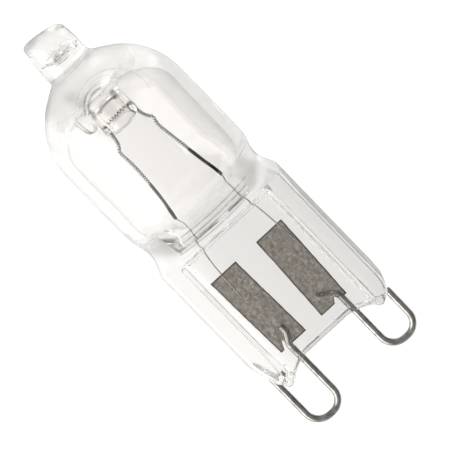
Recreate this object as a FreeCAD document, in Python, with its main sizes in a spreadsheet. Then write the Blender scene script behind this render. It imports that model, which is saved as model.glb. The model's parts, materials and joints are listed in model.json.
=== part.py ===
import FreeCAD, Part
import math
import os

import Sketcher

# Halogen capsule lamp with a pinched two-loop base, at its real size in millimetres.
#
# Each piece is drawn in the lamp's own frame: the origin is the middle of the pinch's lower edge,
# Z runs along the axis to the blown tip, X across the pinch and Y through its thickness. One rest
# placement then lays the finished lamp on its side: the pins point along +X, the tip rises towards
# -X, and the lamp stands on the shoulder of its capsule and the feet of its pinch.

# Driving sizes: capsule, tip stub and the exhaust tube's end inside the dome
SIZES = {
    "capsule_radius": 6.5,
    "glass_wall": 1.0,
    "dome_centre": 24.6,
    "shoulder_height": 17.2,
    "stub_root_radius": 2.1,
    "stub_end_radius": 1.95,
    "stub_top": 34.72,
    "stub_slant": 9.2,
    "stub_root_fillet": 0.6,
    "stub_end_fillet": 0.55,
    "tube_radius": 1.65,
    "tube_bore_radius": 1.05,
    "tube_mouth_rise": 0.4,
    "tube_bore_depth": 3.2,
    "tube_root_fillet": 1.2,
    "tube_lip_share": 0.37,
}

# Driving sizes: neck and pinch
SIZES.update({
    "neck_dip": 0.54,
    "neck_flat": 0.45,
    "cavity_low": 13.0,
    "cavity_low_width": 4.35,
    "cavity_low_depth": 0.32,
    "cavity_low_corner": 0.26,
    "pinch_half_width": 6.6,
    "pinch_top": 12.9,
    "rib_thickness": 4.8,
    "rib_corner": 0.6,
    "web_thickness": 2.8,
    "web_edge_half_width": 3.0,
    "channel_half_width": 4.9,
    "channel_draft": 22.0,
    "channel_corner": 1.1,
    "channel_margin": 0.25,
    "foot_low_left": 1.0,
    "foot_low_right": 1.1,
    "foot_inner_left": 4.65,
    "foot_inner_right": 5.15,
    "foot_outer_left": 5.05,
    "foot_outer_right": 5.6,
    "heel_width_left": 5.85,
    "heel_width_right": 6.1,
    "heel_height_left": -0.2,
    "heel_height_right": -0.75,
    "flank_height_left": 2.6,
    "flank_height_right": 0.2,
    "foot_corner": 0.35,
})

# Driving sizes: seal foils, lead wires and pins
SIZES.update({
    "foil_width": 2.83,
    "foil_length": 8.4,
    "foil_thickness": 0.04,
    "foil_low": 1.31,
    "foil_low_centre_left": 2.54,
    "foil_low_centre_right": 2.05,
    "foil_top_centre_left": 2.77,
    "foil_top_centre_right": 2.41,
    "lead_radius": 0.06,
    "lead_flat": 0.012,
    "lead_insertion": 0.5,
    "lead_bend_radius": 2.0,
    "lead_neck_height": 14.0,
    "lead_neck_across_left": 2.42,
    "lead_neck_across_right": 2.88,
    "lead_entry_height": 10.7,
    "lead_entry_across_left": 2.88,
    "lead_entry_across_right": 3.24,
    "lead_end_left": 7.1,
    "lead_end_right": 7.4,
    "lead_end_across_left": 3.07,
    "lead_end_across_right": 3.5,
    "wire_radius": 0.3,
    "wire_flat": 0.03,
    "pin_pitch": 9.0,
    "pin_leg_gap": 3.1,
    "pin_low_left": -5.45,
    "pin_low_right": -4.95,
    "pin_bow_radius": 1.42,
    "pin_free_end_left": 0.25,
    "pin_free_end_right": -0.8,
    "pin_notch_clearance": 0.08,
    "pin_bend_height_left": 1.45,
    "pin_bend_height_right": 1.95,
    "pin_bend_radius": 0.8,
    "pin_step_across_left": 2.4,
    "pin_step_height_left": 2.4,
    "pin_end_left": 3.1,
    "pin_end_right": 2.8,
    "pin_end_across_right": 1.45,
})

# Driving sizes: the filament's outer shape, a coil that runs up, across the tube's mouth and down
SIZES.update({
    "coil_radius": 0.15,
    "coil_seat_depth": 1.0,
    "coil_corner_radius": 0.4,
    "coil_bend_radius": 1.2,
    "coil_kink_drop_top": 0.7,
    "coil_kink_drop_low": 2.0,
    "coil_kink_across_left": 1.72,
    "coil_kink_across_right": 1.98,
    "coil_low": 15.7,
    "coil_low_across_left": 2.37,
    "coil_low_across_right": 2.79,
})

SIDES = {"left": -1, "right": 1}
NECK_STATIONS = 7
FULL_TURN = 360.0

doc = FreeCAD.newDocument("halogen_capsule")
sheet = doc.addObject("Spreadsheet::Sheet", "Sizes")
for row, (alias, size) in enumerate(SIZES.items(), start=1):
    sheet.set(f"A{row}", alias)
    sheet.set(f"B{row}", str(size))
    sheet.setAlias(f"B{row}", alias)
doc.recompute()


def size_of(alias):
    """Read one driving size from the sheet."""
    return float(sheet.get(alias))


def origin_feature(body, role):
    """Find one of a body's own origin planes or axes by its role."""
    return next(item for item in body.Origin.OriginFeatures if item.Role == role)


def new_body(name):
    """Start a part-design body."""
    return doc.addObject("PartDesign::Body", name)


def new_sketch(body, name, role="XZ_Plane", offset=None):
    """Attach a sketch to an origin plane; the offset is a formula along the plane's normal."""
    sketch = body.newObject("Sketcher::SketchObject", name)
    sketch.AttachmentSupport = (origin_feature(body, role), [""])
    sketch.MapMode = "FlatFace"
    if offset:
        sketch.setExpression("AttachmentOffset.Base.z", offset)
    return sketch


def fix_point(sketch, curve, vertex, spot):
    """Tie one vertex of a curve to its pair of formulas, measured from the sketch's origin."""
    for kind, formula in zip(("DistanceX", "DistanceY"), spot):
        value = float(sketch.evalExpression(formula))
        index = sketch.addConstraint(Sketcher.Constraint(kind, -1, 1, curve, vertex, value))
        sketch.setExpression(f"Constraints[{index}]", formula)


def fix_radius(sketch, curve, formula):
    """Tie the radius of an arc or circle to a formula."""
    value = float(sketch.evalExpression(formula))
    index = sketch.addConstraint(Sketcher.Constraint("Radius", curve, value))
    sketch.setExpression(f"Constraints[{index}]", formula)


def spot_vector(sketch, spot):
    """Work out where a pair of formulas puts a point."""
    return FreeCAD.Vector(*(float(sketch.evalExpression(formula)) for formula in spot), 0)


def arc_between(start, end, radius, turn):
    """Make the short arc from start to end; turn is +1 for a left-hand bend and -1 for a right-hand one."""
    chord = end - start
    across = FreeCAD.Vector(-chord.y, chord.x, 0).normalize()
    centre = start + chord * 0.5 + across * (turn * math.sqrt(radius**2 - (chord.Length / 2) ** 2))
    first, last = (start, end) if turn > 0 else (end, start)
    angles = [math.atan2(spot.y - centre.y, spot.x - centre.x) for spot in (first, last)]
    return Part.ArcOfCircle(Part.Circle(centre, FreeCAD.Vector(0, 0, 1), radius), *angles)


def draw_outline(sketch, spots, arcs=None):
    """Close a loop through the spots, by lines or by the arcs listed as start: (radius, turn)."""
    arcs = arcs or {}
    points = [spot_vector(sketch, spot) for spot in spots]
    entry, exit_vertex = [], []
    for start, point in enumerate(points):
        end = points[(start + 1) % len(points)]
        if start in arcs:
            formula, turn = arcs[start]
            radius = float(sketch.evalExpression(formula))
            sketch.addGeometry(arc_between(point, end, radius, turn), False)
            entry.append(1 if turn > 0 else 2)
        else:
            sketch.addGeometry(Part.LineSegment(point, end), False)
            entry.append(1)
        exit_vertex.append(3 - entry[-1])
    for curve in range(len(points)):
        following = (curve + 1) % len(points)
        sketch.addConstraint(
            Sketcher.Constraint("Coincident", curve, exit_vertex[curve], following, entry[following]))
        fix_point(sketch, curve, entry[curve], spots[curve])
    for curve, (formula, turn) in arcs.items():
        fix_radius(sketch, curve, formula)


def draw_route(sketch, corners, radii):
    """Draw straight runs from corner to corner, with a tangent arc at each inner corner."""
    points = [spot_vector(sketch, corner) for corner in corners]
    bends = [float(sketch.evalExpression(formula)) for formula in radii]
    starts, ends = [points[0]], []
    arcs = []
    for before, corner, after, bend in zip(points, points[1:], points[2:], bends):
        incoming = (corner - before).normalize()
        outgoing = (after - corner).normalize()
        reach = bend * math.tan(incoming.getAngle(outgoing) / 2)
        turn = 1 if incoming.cross(outgoing).z > 0 else -1
        ends.append(corner - incoming * reach)
        starts.append(corner + outgoing * reach)
        arcs.append((arc_between(ends[-1], starts[-1], bend, turn), turn))
    ends.append(points[-1])

    runs = [sketch.addGeometry(Part.LineSegment(*pair), False) for pair in zip(starts, ends)]
    fix_point(sketch, runs[0], 1, corners[0])
    fix_point(sketch, runs[-1], 2, corners[-1])
    for number, (arc, turn) in enumerate(arcs):
        bend = sketch.addGeometry(arc, False)
        entry = 1 if turn > 0 else 2
        sketch.addConstraint(Sketcher.Constraint("Tangent", runs[number], 2, bend, entry))
        sketch.addConstraint(Sketcher.Constraint("Tangent", bend, 3 - entry, runs[number + 1], 1))
        fix_radius(sketch, bend, radii[number])
        corner = sketch.addGeometry(Part.Point(points[number + 1]), True)
        fix_point(sketch, corner, 1, corners[number + 1])
        for run in (runs[number], runs[number + 1]):
            sketch.addConstraint(Sketcher.Constraint("PointOnObject", corner, 1, run))


def add_turned(body, kind, name, sketch):
    """Turn a sketch about the lamp's axis, as added or removed material."""
    feature = body.newObject(f"PartDesign::{kind}", name)
    feature.Profile = sketch
    feature.ReferenceAxis = (origin_feature(body, "Z_Axis"), [""])
    feature.Angle = FULL_TURN
    return feature


def add_fillet(body, name, base, radius, chosen):
    """Round the edges of a feature that the chosen test picks."""
    doc.recompute()
    names = []
    for number, edge in enumerate(base.Shape.Edges, start=1):
        if not edge.Degenerated and chosen(edge):
            names.append(f"Edge{number}")
    fillet = body.newObject("PartDesign::Fillet", name)
    fillet.Base = (base, names)
    fillet.setExpression("Radius", radius)
    return fillet


def ring_at(height, radius):
    """Make a test for circular edges about the axis at a height and a radius."""
    def test(edge):
        if not isinstance(edge.Curve, Part.Circle):
            return False
        same_height = math.isclose(edge.Curve.Center.z, height, abs_tol=1e-4)
        return same_height and math.isclose(edge.Curve.Radius, radius, abs_tol=1e-4)
    return test


def wire_body(name, corners, radii, radius, offset):
    """Sweep a round wire along a flat route that lies offset from the lamp's middle plane."""
    body = new_body(name)
    route = new_sketch(body, f"{name}_route", offset=offset)
    draw_route(route, corners, radii)
    doc.recompute()
    section = body.newObject("Sketcher::SketchObject", f"{name}_section")
    section.AttachmentSupport = [(route, "Edge1")]
    section.MapMode = "NormalToEdge"
    section.addGeometry(Part.Circle(FreeCAD.Vector(), FreeCAD.Vector(0, 0, 1), 1), False)
    section.addConstraint(Sketcher.Constraint("Coincident", 0, 3, -1, 1))
    fix_radius(section, 0, radius)
    pipe = body.newObject("PartDesign::AdditivePipe", f"{name}_sweep")
    pipe.Profile = section
    pipe.Spine = (route, [])
    return body


# Capsule: a round tube closed by a half-round dome, with the sealed-off tip stub on top

TUBE_MOUTH = "(Sizes.dome_centre + Sizes.tube_mouth_rise)"
TUBE_BORE_END = f"({TUBE_MOUTH} + Sizes.tube_bore_depth)"
TUBE_WALL = "(Sizes.tube_radius - Sizes.tube_bore_radius)"


def make_capsule():
    """Model the outside of the blown capsule above its shoulder."""
    body = new_body("capsule")
    profile = new_sketch(body, "capsule_profile")
    draw_outline(
        profile,
        [("0", "Sizes.shoulder_height"),
         ("Sizes.capsule_radius", "Sizes.shoulder_height"),
         ("Sizes.capsule_radius", "Sizes.dome_centre"),
         ("0", "Sizes.dome_centre + Sizes.capsule_radius")],
        {2: ("Sizes.capsule_radius", 1)})
    add_turned(body, "Revolution", "capsule_turned", profile)

    stub_profile = new_sketch(body, "stub_profile")
    overrun = "Sizes.stub_top + Sizes.stub_end_radius"
    draw_outline(
        stub_profile,
        [("0", "Sizes.dome_centre"),
         ("Sizes.stub_root_radius", "Sizes.dome_centre"),
         ("Sizes.stub_root_radius", "Sizes.dome_centre + Sizes.capsule_radius"),
         ("Sizes.stub_end_radius", overrun),
         ("0", overrun)])
    add_turned(body, "Revolution", "stub_turned", stub_profile)

    slant = new_sketch(body, "stub_slant")
    reach = "2 * Sizes.stub_root_radius"
    rise = f"{reach} * tan(Sizes.stub_slant * 1 deg)"
    draw_outline(
        slant,
        [(f"-{reach}", f"Sizes.stub_top + {rise}"),
         (reach, f"Sizes.stub_top - {rise}"),
         (reach, "Sizes.stub_top + 2 * Sizes.stub_root_radius"),
         (f"-{reach}", "Sizes.stub_top + 2 * Sizes.stub_root_radius")])
    cut = body.newObject("PartDesign::Pocket", "stub_cut")
    cut.Profile = slant
    cut.Type = "ThroughAll"
    cut.SideType = "Symmetric"

    root = size_of("dome_centre") + math.sqrt(size_of("capsule_radius")**2 - size_of("stub_root_radius")**2)
    root_fillet = add_fillet(
        body, "stub_root", cut, "Sizes.stub_root_fillet", ring_at(root, size_of("stub_root_radius")))
    add_fillet(
        body, "stub_end", root_fillet, "Sizes.stub_end_fillet",
        lambda edge: edge.BoundBox.ZMin > root + size_of("glass_wall"))
    return body


def make_cavity():
    """Model the gas space above the shoulder, round the end of the exhaust tube."""
    body = new_body("cavity")
    inner = "(Sizes.capsule_radius - Sizes.glass_wall)"
    profile = new_sketch(body, "cavity_profile")
    draw_outline(
        profile,
        [("0", "Sizes.shoulder_height"),
         (inner, "Sizes.shoulder_height"),
         (inner, "Sizes.dome_centre"),
         ("0", f"Sizes.dome_centre + {inner}")],
        {2: (inner, 1)})
    add_turned(body, "Revolution", "cavity_turned", profile)

    tube_profile = new_sketch(body, "tube_profile")
    above = "Sizes.dome_centre + Sizes.capsule_radius"
    draw_outline(
        tube_profile,
        [("Sizes.tube_bore_radius", TUBE_MOUTH),
         ("Sizes.tube_radius", TUBE_MOUTH),
         ("Sizes.tube_radius", above),
         ("0", above),
         ("0", TUBE_BORE_END),
         ("Sizes.tube_bore_radius", f"{TUBE_BORE_END} - Sizes.tube_bore_radius")],
        {4: ("Sizes.tube_bore_radius", -1)})
    tube = add_turned(body, "Groove", "tube_turned", tube_profile)

    inside = size_of("capsule_radius") - size_of("glass_wall")
    root = size_of("dome_centre") + math.sqrt(inside**2 - size_of("tube_radius")**2)
    root_fillet = add_fillet(
        body, "tube_root", tube, "Sizes.tube_root_fillet", ring_at(root, size_of("tube_radius")))
    mouth = size_of("dome_centre") + size_of("tube_mouth_rise")
    outer_lip = ring_at(mouth, size_of("tube_radius"))
    inner_lip = ring_at(mouth, size_of("tube_bore_radius"))
    add_fillet(
        body, "tube_lip", root_fillet, f"{TUBE_WALL} * Sizes.tube_lip_share",
        lambda edge: outer_lip(edge) or inner_lip(edge))
    return body


# Neck: the round tube pressed flat, lofted through rounded sections

def ease(share):
    """Blend from 0 to 1 with level ends."""
    return share * share * (3 - 2 * share)


def round_section(height, radius, flat):
    """Draw a circle as eight arcs, the four short ones where the flats begin."""
    spread = math.asin(flat / radius)
    edges = []
    for quarter in range(4):
        middle = quarter * math.pi / 2
        stops = [middle - spread, middle, middle + spread, middle + math.pi / 4,
                 middle + math.pi / 2 - spread]
        points = [FreeCAD.Vector(radius * math.cos(stop), radius * math.sin(stop), height) for stop in stops]
        edges.append(Part.Arc(*points[0:3]).toShape())
        edges.append(Part.Arc(*points[2:5]).toShape())
    return Part.Wire(edges)


def flat_section(height, half_width, half_depth, corner):
    """Draw a rectangle with round corners, its edges in the same order as in a round section."""
    edges = []
    start = FreeCAD.Vector(half_width, corner - half_depth, height)
    for quarter in range(4):
        reach = (half_width, half_depth) if quarter % 2 == 0 else (half_depth, half_width)
        middle = quarter * math.pi / 2
        outward = FreeCAD.Vector(math.cos(middle), math.sin(middle), 0)
        onward = FreeCAD.Vector(-math.sin(middle), math.cos(middle), 0)
        base = FreeCAD.Vector(0, 0, height)
        flat_end = base + outward * reach[0] + onward * (reach[1] - corner)
        hub = base + outward * (reach[0] - corner) + onward * (reach[1] - corner)
        bulge = hub + (outward + onward).normalize() * corner
        arc_end = hub + onward * corner
        edges.append(Part.LineSegment(start, flat_end).toShape())
        edges.append(Part.Arc(flat_end, bulge, arc_end).toShape())
        start = arc_end
    return Part.Wire(edges)


def pressed_sections(low, low_width, low_depth, low_corner, radius, dip):
    """Work out the neck's sections from its flat lower end up to the round tube."""
    top = size_of("shoulder_height")
    flat = size_of("neck_flat")
    sections = []
    for station in range(NECK_STATIONS - 1):
        share = station / (NECK_STATIONS - 1)
        half_depth = low_depth + (radius - low_depth) * ease(share)
        half_width = low_width + (radius - low_width) * ease(share) - dip * (4 * share * (1 - share))**2
        side_flat = (low_depth - low_corner) * (1 - ease(share)) + flat * ease(share)
        height = low + (top - low) * share
        sections.append((height, half_width, half_depth, half_depth - side_flat))
    return sections


def make_neck(name, sections, radius):
    """Loft the sections to the round end of the tube."""
    wires = [flat_section(*section) for section in sections]
    wires.append(round_section(size_of("shoulder_height"), radius, size_of("neck_flat")))
    neck = doc.addObject("Part::Feature", name)
    neck.Shape = Part.makeLoft(wires, True)
    return neck


# Pinch: the flat seal with a rib and a foot on each side and a pressed channel on both faces

def make_pinch():
    """Model the pressed seal below the neck."""
    body = new_body("pinch")
    outline = new_sketch(body, "pinch_outline")
    spots = [("-Sizes.pinch_half_width", "Sizes.pinch_top"), ("Sizes.pinch_half_width", "Sizes.pinch_top")]
    feet = {}
    for side, sign in SIDES.items():
        feet[side] = [
            (f"{sign} * Sizes.pinch_half_width", f"Sizes.flank_height_{side}"),
            (f"{sign} * Sizes.heel_width_{side}", f"Sizes.heel_height_{side}"),
            (f"{sign} * Sizes.foot_outer_{side}", f"-Sizes.foot_low_{side}"),
            (f"{sign} * Sizes.foot_inner_{side}", f"-Sizes.foot_low_{side}"),
            (f"{sign} * Sizes.web_edge_half_width", "0")]
    spots += feet["right"] + feet["left"][::-1]
    draw_outline(outline, spots)
    plate = body.newObject("PartDesign::Pad", "pinch_plate")
    plate.Profile = outline
    plate.SideType = "Symmetric"
    plate.setExpression("Length", "Sizes.rib_thickness")

    long_edge = size_of("pinch_top") / 2
    rounded = add_fillet(
        body, "pinch_edges", plate, "Sizes.rib_corner",
        lambda edge: edge.BoundBox.ZMax - edge.BoundBox.ZMin > long_edge)
    web_edge = size_of("web_edge_half_width") + size_of("foot_corner")
    web = size_of("web_thickness")
    add_fillet(
        body, "foot_corners", rounded, "Sizes.foot_corner",
        lambda edge: edge.BoundBox.YLength > web and edge.BoundBox.ZLength < size_of("foot_corner")
        and edge.BoundBox.ZMax < 0 and abs(edge.CenterOfMass.x) > web_edge)

    channel_outline = new_sketch(body, "channel_outline", offset="Sizes.rib_thickness / 2")
    top = "(Sizes.pinch_top - Sizes.channel_margin)"
    low = "-3 * Sizes.foot_low_right"
    shoulder = "(Sizes.channel_half_width - Sizes.channel_corner)"
    draw_outline(
        channel_outline,
        [("-Sizes.channel_half_width", low),
         ("Sizes.channel_half_width", low),
         ("Sizes.channel_half_width", f"{top} - Sizes.channel_corner"),
         (shoulder, top),
         (f"-{shoulder}", top),
         ("-Sizes.channel_half_width", f"{top} - Sizes.channel_corner")],
        {2: ("Sizes.channel_corner", 1), 4: ("Sizes.channel_corner", 1)})
    channel = body.newObject("PartDesign::Pocket", "channel")
    channel.Profile = channel_outline
    channel.setExpression("Length", "(Sizes.rib_thickness - Sizes.web_thickness) / 2")
    channel.setExpression("TaperAngle", "-Sizes.channel_draft")

    both = body.newObject("PartDesign::Mirrored", "both_channels")
    both.Originals = [channel]
    both.MirrorPlane = (origin_feature(body, "XZ_Plane"), [""])
    body.Tip = both
    doc.recompute()
    return body


# Metal pieces: foils in the web, leads up to the coil, and the bent pins

def make_foil(side):
    """Model one seal foil, a thin strip that leans a little along the pinch."""
    sign = SIDES[side]
    body = new_body(f"foil_{side}")
    outline = new_sketch(body, f"foil_{side}_outline")
    low, top = "Sizes.foil_low", "Sizes.foil_low + Sizes.foil_length"
    low_centre = f"{sign} * Sizes.foil_low_centre_{side}"
    top_centre = f"{sign} * Sizes.foil_top_centre_{side}"
    draw_outline(
        outline,
        [(f"{low_centre} - Sizes.foil_width / 2", low),
         (f"{low_centre} + Sizes.foil_width / 2", low),
         (f"{top_centre} + Sizes.foil_width / 2", top),
         (f"{top_centre} - Sizes.foil_width / 2", top)])
    strip = body.newObject("PartDesign::Pad", f"foil_{side}_strip")
    strip.Profile = outline
    strip.SideType = "Symmetric"
    strip.setExpression("Length", "Sizes.foil_thickness")
    return body


LEAD_OFFSET = "Sizes.foil_thickness / 2 + Sizes.lead_radius - Sizes.lead_flat"
PIN_OFFSET = "Sizes.foil_thickness / 2 + Sizes.wire_radius - Sizes.wire_flat"
OUTER_LEG = "(Sizes.pin_pitch + Sizes.pin_leg_gap) / 2"
INNER_LEG = "(Sizes.pin_pitch - Sizes.pin_leg_gap) / 2"
COIL_BASE = "(Sizes.tube_radius + Sizes.tube_bore_radius) / 2"
COIL_KINK_LOW = f"({TUBE_MOUTH} - Sizes.coil_kink_drop_low)"


def make_lead(side):
    """Model the fine wire from inside the coil's end down onto its foil."""
    sign = SIDES[side]
    lean = (f"((Sizes.coil_kink_across_{side} - Sizes.coil_low_across_{side})"
            f" / ({COIL_KINK_LOW} - Sizes.coil_low))")
    corners = [
        (f"{sign} * (Sizes.coil_low_across_{side} + Sizes.lead_insertion * {lean})",
         "Sizes.coil_low + Sizes.lead_insertion"),
        (f"{sign} * (Sizes.coil_low_across_{side} - Sizes.lead_insertion * {lean})",
         "Sizes.coil_low - Sizes.lead_insertion"),
        (f"{sign} * Sizes.lead_neck_across_{side}", "Sizes.lead_neck_height"),
        (f"{sign} * Sizes.lead_entry_across_{side}", "Sizes.lead_entry_height"),
        (f"{sign} * Sizes.lead_end_across_{side}", f"Sizes.lead_end_{side}")]
    radii = ["Sizes.lead_bend_radius"] * (len(corners) - 2)
    return wire_body(f"lead_{side}_wire", corners, radii, "Sizes.lead_radius", LEAD_OFFSET)


def make_pin(side):
    """Model one looped pin: a free outer leg, the bow, and an inner leg that runs up to its foil."""
    sign = SIDES[side]
    corners = [
        (f"{sign} * {OUTER_LEG}", f"Sizes.pin_free_end_{side}"),
        (f"{sign} * {OUTER_LEG}", f"Sizes.pin_low_{side}"),
        (f"{sign} * {INNER_LEG}", f"Sizes.pin_low_{side}"),
        (f"{sign} * {INNER_LEG}", f"Sizes.pin_bend_height_{side}")]
    if side == "left":
        corners += [
            (f"{sign} * Sizes.pin_step_across_left", "Sizes.pin_step_height_left"),
            (f"{sign} * Sizes.pin_step_across_left", "Sizes.pin_end_left")]
    else:
        corners.append((f"{sign} * Sizes.pin_end_across_right", "Sizes.pin_end_right"))
    bends = len(corners) - 4
    radii = ["Sizes.pin_bow_radius"] * 2 + ["Sizes.pin_bend_radius"] * bends
    return wire_body(f"pin_{side}_wire", corners, radii, "Sizes.wire_radius", PIN_OFFSET)


def make_coil():
    """Model the coil's outer shape from end to end, with its corners in the tube's wall."""
    legs = {}
    for side, sign in SIDES.items():
        legs[side] = [
            (f"{sign} * Sizes.coil_low_across_{side}", "Sizes.coil_low"),
            (f"{sign} * Sizes.coil_kink_across_{side}", COIL_KINK_LOW),
            (f"{sign} * {COIL_BASE}", f"{TUBE_MOUTH} - Sizes.coil_kink_drop_top"),
            (f"{sign} * {COIL_BASE}", f"{TUBE_MOUTH} + Sizes.coil_seat_depth")]
    leg_radii = ["Sizes.coil_bend_radius", "Sizes.coil_bend_radius", "Sizes.coil_corner_radius"]
    corners = legs["left"] + legs["right"][::-1]
    return wire_body("coil", corners, leg_radii + leg_radii[::-1], "Sizes.coil_radius", LEAD_OFFSET)


def make_notch(side):
    """Model the room round a pin's free end beside its foot."""
    notch = doc.addObject("Part::Cylinder", f"notch_{side}")
    notch.setExpression("Radius", "Sizes.wire_radius + Sizes.pin_notch_clearance")
    top = f"(Sizes.pin_free_end_{side} + Sizes.pin_notch_clearance)"
    notch.setExpression("Height", f"{top} - Sizes.pin_low_{side}")
    return notch


def rest_slope():
    """Find the floor line from the feet to the fullest part of the shoulder."""
    foot = -size_of("foot_low_right")
    rib = size_of("rib_thickness") / 2
    stations = [(height, half_depth) for height, half_width, half_depth, corner in NECK_SECTIONS]
    stations.append((size_of("shoulder_height"), size_of("capsule_radius")))
    return max((half_depth - rib) / (height - foot) for height, half_depth in stations)


def join(name, pieces):
    """Fuse pieces that are one body of material."""
    fused = doc.addObject("Part::MultiFuse", name)
    fused.Shapes = pieces
    return fused


def cut(name, base, tool):
    """Cut a tool out of a base."""
    result = doc.addObject("Part::Cut", name)
    result.Base = base
    result.Tool = tool
    return result


CAVITY_RADIUS = size_of("capsule_radius") - size_of("glass_wall")
NECK_SECTIONS = pressed_sections(
    size_of("pinch_top"), size_of("pinch_half_width"), size_of("rib_thickness") / 2,
    size_of("rib_corner"), size_of("capsule_radius"), size_of("neck_dip"))
CAVITY_SECTIONS = pressed_sections(
    size_of("cavity_low"), size_of("cavity_low_width"), size_of("cavity_low_depth"),
    size_of("cavity_low_corner"), CAVITY_RADIUS, 0)

capsule = make_capsule()
cavity = make_cavity()
neck = make_neck("neck", NECK_SECTIONS, size_of("capsule_radius"))
neck_cavity = make_neck("neck_cavity", CAVITY_SECTIONS, CAVITY_RADIUS)
pinch = make_pinch()
coil = make_coil()
foils = {side: make_foil(side) for side in SIDES}
leads = {side: make_lead(side) for side in SIDES}
pins = {side: make_pin(side) for side in SIDES}
notches = {side: make_notch(side) for side in SIDES}
doc.recompute()

# Rest placement: the axis leans by the floor line's slope, and the box is centred over the origin
slope = rest_slope()
lean_angle = math.atan(slope)
upright = FreeCAD.Rotation(
    FreeCAD.Vector(0, 1, 0),
    FreeCAD.Vector(-math.sin(lean_angle), 0, -math.cos(lean_angle)),
    FreeCAD.Vector(-math.cos(lean_angle), 0, math.sin(lean_angle)), "XYZ")
turned = FreeCAD.Placement(FreeCAD.Vector(), upright)
outside = [capsule.Shape, neck.Shape, pinch.Shape, pins["left"].Shape, pins["right"].Shape]
span = Part.makeCompound(outside).transformed(turned.toMatrix()).optimalBoundingBox()
rest = FreeCAD.Placement(FreeCAD.Vector(-(span.XMin + span.XMax) / 2, 0, -span.ZMin), upright)

placed = [capsule, cavity, neck, neck_cavity, pinch, coil]
for side in SIDES:
    placed += [foils[side], leads[side], pins[side]]
for piece in placed:
    piece.Placement = rest
for side, sign in SIDES.items():
    foot_axis = FreeCAD.Vector(
        sign * (size_of("pin_pitch") + size_of("pin_leg_gap")) / 2,
        size_of("wire_flat") - size_of("wire_radius") - size_of("foil_thickness") / 2,
        size_of(f"pin_low_{side}"))
    notches[side].Placement = rest.multiply(FreeCAD.Placement(foot_axis, FreeCAD.Rotation()))

# Finished pieces: each wire has a flat where it is welded to its foil, and the glass is fused round
# all the metal that runs through it
nodes = {f"foil_{side}": foils[side] for side in SIDES}
for side in SIDES:
    nodes[f"inner_lead_{side}"] = cut(f"inner_lead_{side}", leads[side], foils[side])
    nodes[f"pin_{side}"] = cut(f"pin_{side}", pins[side], foils[side])
coil_bores = join("coil_bores", [nodes["inner_lead_left"], nodes["inner_lead_right"]])
nodes["filament"] = cut("filament", coil, coil_bores)
glass_blank = join("glass_blank", [capsule, neck, pinch])
gas_space = join("gas_space", [cavity, neck_cavity])
blown_glass = cut("blown_glass", glass_blank, gas_space)
inlay = join("inlay", list(nodes.values()) + list(notches.values()))
nodes["envelope"] = cut("envelope", blown_glass, inlay)
for name, node in nodes.items():
    node.Label = name
doc.recompute()

for item in doc.Objects:
    if "Invalid" in item.State or "Error" in item.State:
        raise RuntimeError(f"{item.Name} did not build: {item.State}")
for name, node in nodes.items():
    if node.Shape.isNull() or not node.Shape.isValid() or len(node.Shape.Solids) != 1:
        raise RuntimeError(f"{name} is not one valid solid")

os.makedirs("parts", exist_ok=True)
for name, node in sorted(nodes.items()):
    node.Shape.exportStep(f"parts/{name}.step")
    print(name, round(node.Shape.Volume, 3), "mm3")
print("lean", round(math.degrees(lean_angle), 2), "degrees")
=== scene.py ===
"""Halogen capsule lamp, dressed for the camera: clear quartz, coil filament, seal foils and wire pins.

All shapes are drawn in the lamp's own frame, in millimetres: the origin is the middle of the
pinch's lower edge, Z runs along the axis to the blown tip, X across the pinch and Y through it,
away from the camera. LampFrame turns those points into the row frame, in metres.
"""

import json
import logging
import math
from dataclasses import dataclass
from enum import Enum
from typing import Callable, Iterable, Sequence, Union

import bmesh
import bpy
import numpy as np
from mathutils import Matrix, Vector, noise


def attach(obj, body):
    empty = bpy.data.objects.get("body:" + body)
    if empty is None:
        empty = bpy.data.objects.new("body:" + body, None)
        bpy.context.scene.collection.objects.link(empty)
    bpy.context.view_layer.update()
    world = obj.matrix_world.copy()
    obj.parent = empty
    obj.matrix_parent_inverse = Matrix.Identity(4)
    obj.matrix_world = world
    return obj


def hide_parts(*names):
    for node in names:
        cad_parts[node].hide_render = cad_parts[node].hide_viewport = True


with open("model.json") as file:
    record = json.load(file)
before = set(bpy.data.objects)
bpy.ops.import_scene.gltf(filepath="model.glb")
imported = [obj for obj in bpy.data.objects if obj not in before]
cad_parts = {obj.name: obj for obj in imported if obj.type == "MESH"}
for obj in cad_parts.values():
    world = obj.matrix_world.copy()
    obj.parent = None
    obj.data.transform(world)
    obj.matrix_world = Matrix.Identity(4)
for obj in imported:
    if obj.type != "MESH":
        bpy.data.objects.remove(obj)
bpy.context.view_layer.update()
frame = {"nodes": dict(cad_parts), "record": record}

LOG = logging.getLogger("halogen_capsule")
MM = 0.001
BODY = "root"
WIRE_PLANE = -0.29
NOISE_SEED = 2
EDGE_TURNS = (0, 30, 60, 90)

Spot = tuple[float, float, float]
Flat = tuple[float, float]


class Slot(Enum):
    """The record's material slot names; no piece in this script is given one."""

    QUARTZ = "quartz"
    COIL = "tungsten_coil"
    FOIL = "seal_foil"
    PIN = "pin_wire"


# Lamp frame and working helpers


@dataclass(frozen=True)
class LampFrame:
    """Where the lamp's own frame lies in the row frame.

    The record's pin mount gives it: the mount's axis points out along the pins, and its place is
    midway between the two bows.
    """

    pin_low: float = -5.2

    def matrix(self) -> Matrix:
        """Give the matrix from lamp millimetres to row metres."""
        mount = next(item for item in frame["record"]["mounts"] if item["name"] == "lamp_pins")
        up = -Vector(mount["axis"]).normalized()
        across = Vector((0, 1, 0))
        through = up.cross(across)
        turn = Matrix((across, through, up)).transposed()
        place = Vector(mount["pos_m"]) - turn @ Vector((0, WIRE_PLANE, self.pin_low)) * MM
        return Matrix.Translation(place) @ turn.to_4x4() @ Matrix.Scale(MM, 4)


LAMP = LampFrame().matrix()


def held(share: float) -> float:
    """Hold a share between 0 and 1."""
    return min(max(share, 0.0), 1.0)


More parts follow.
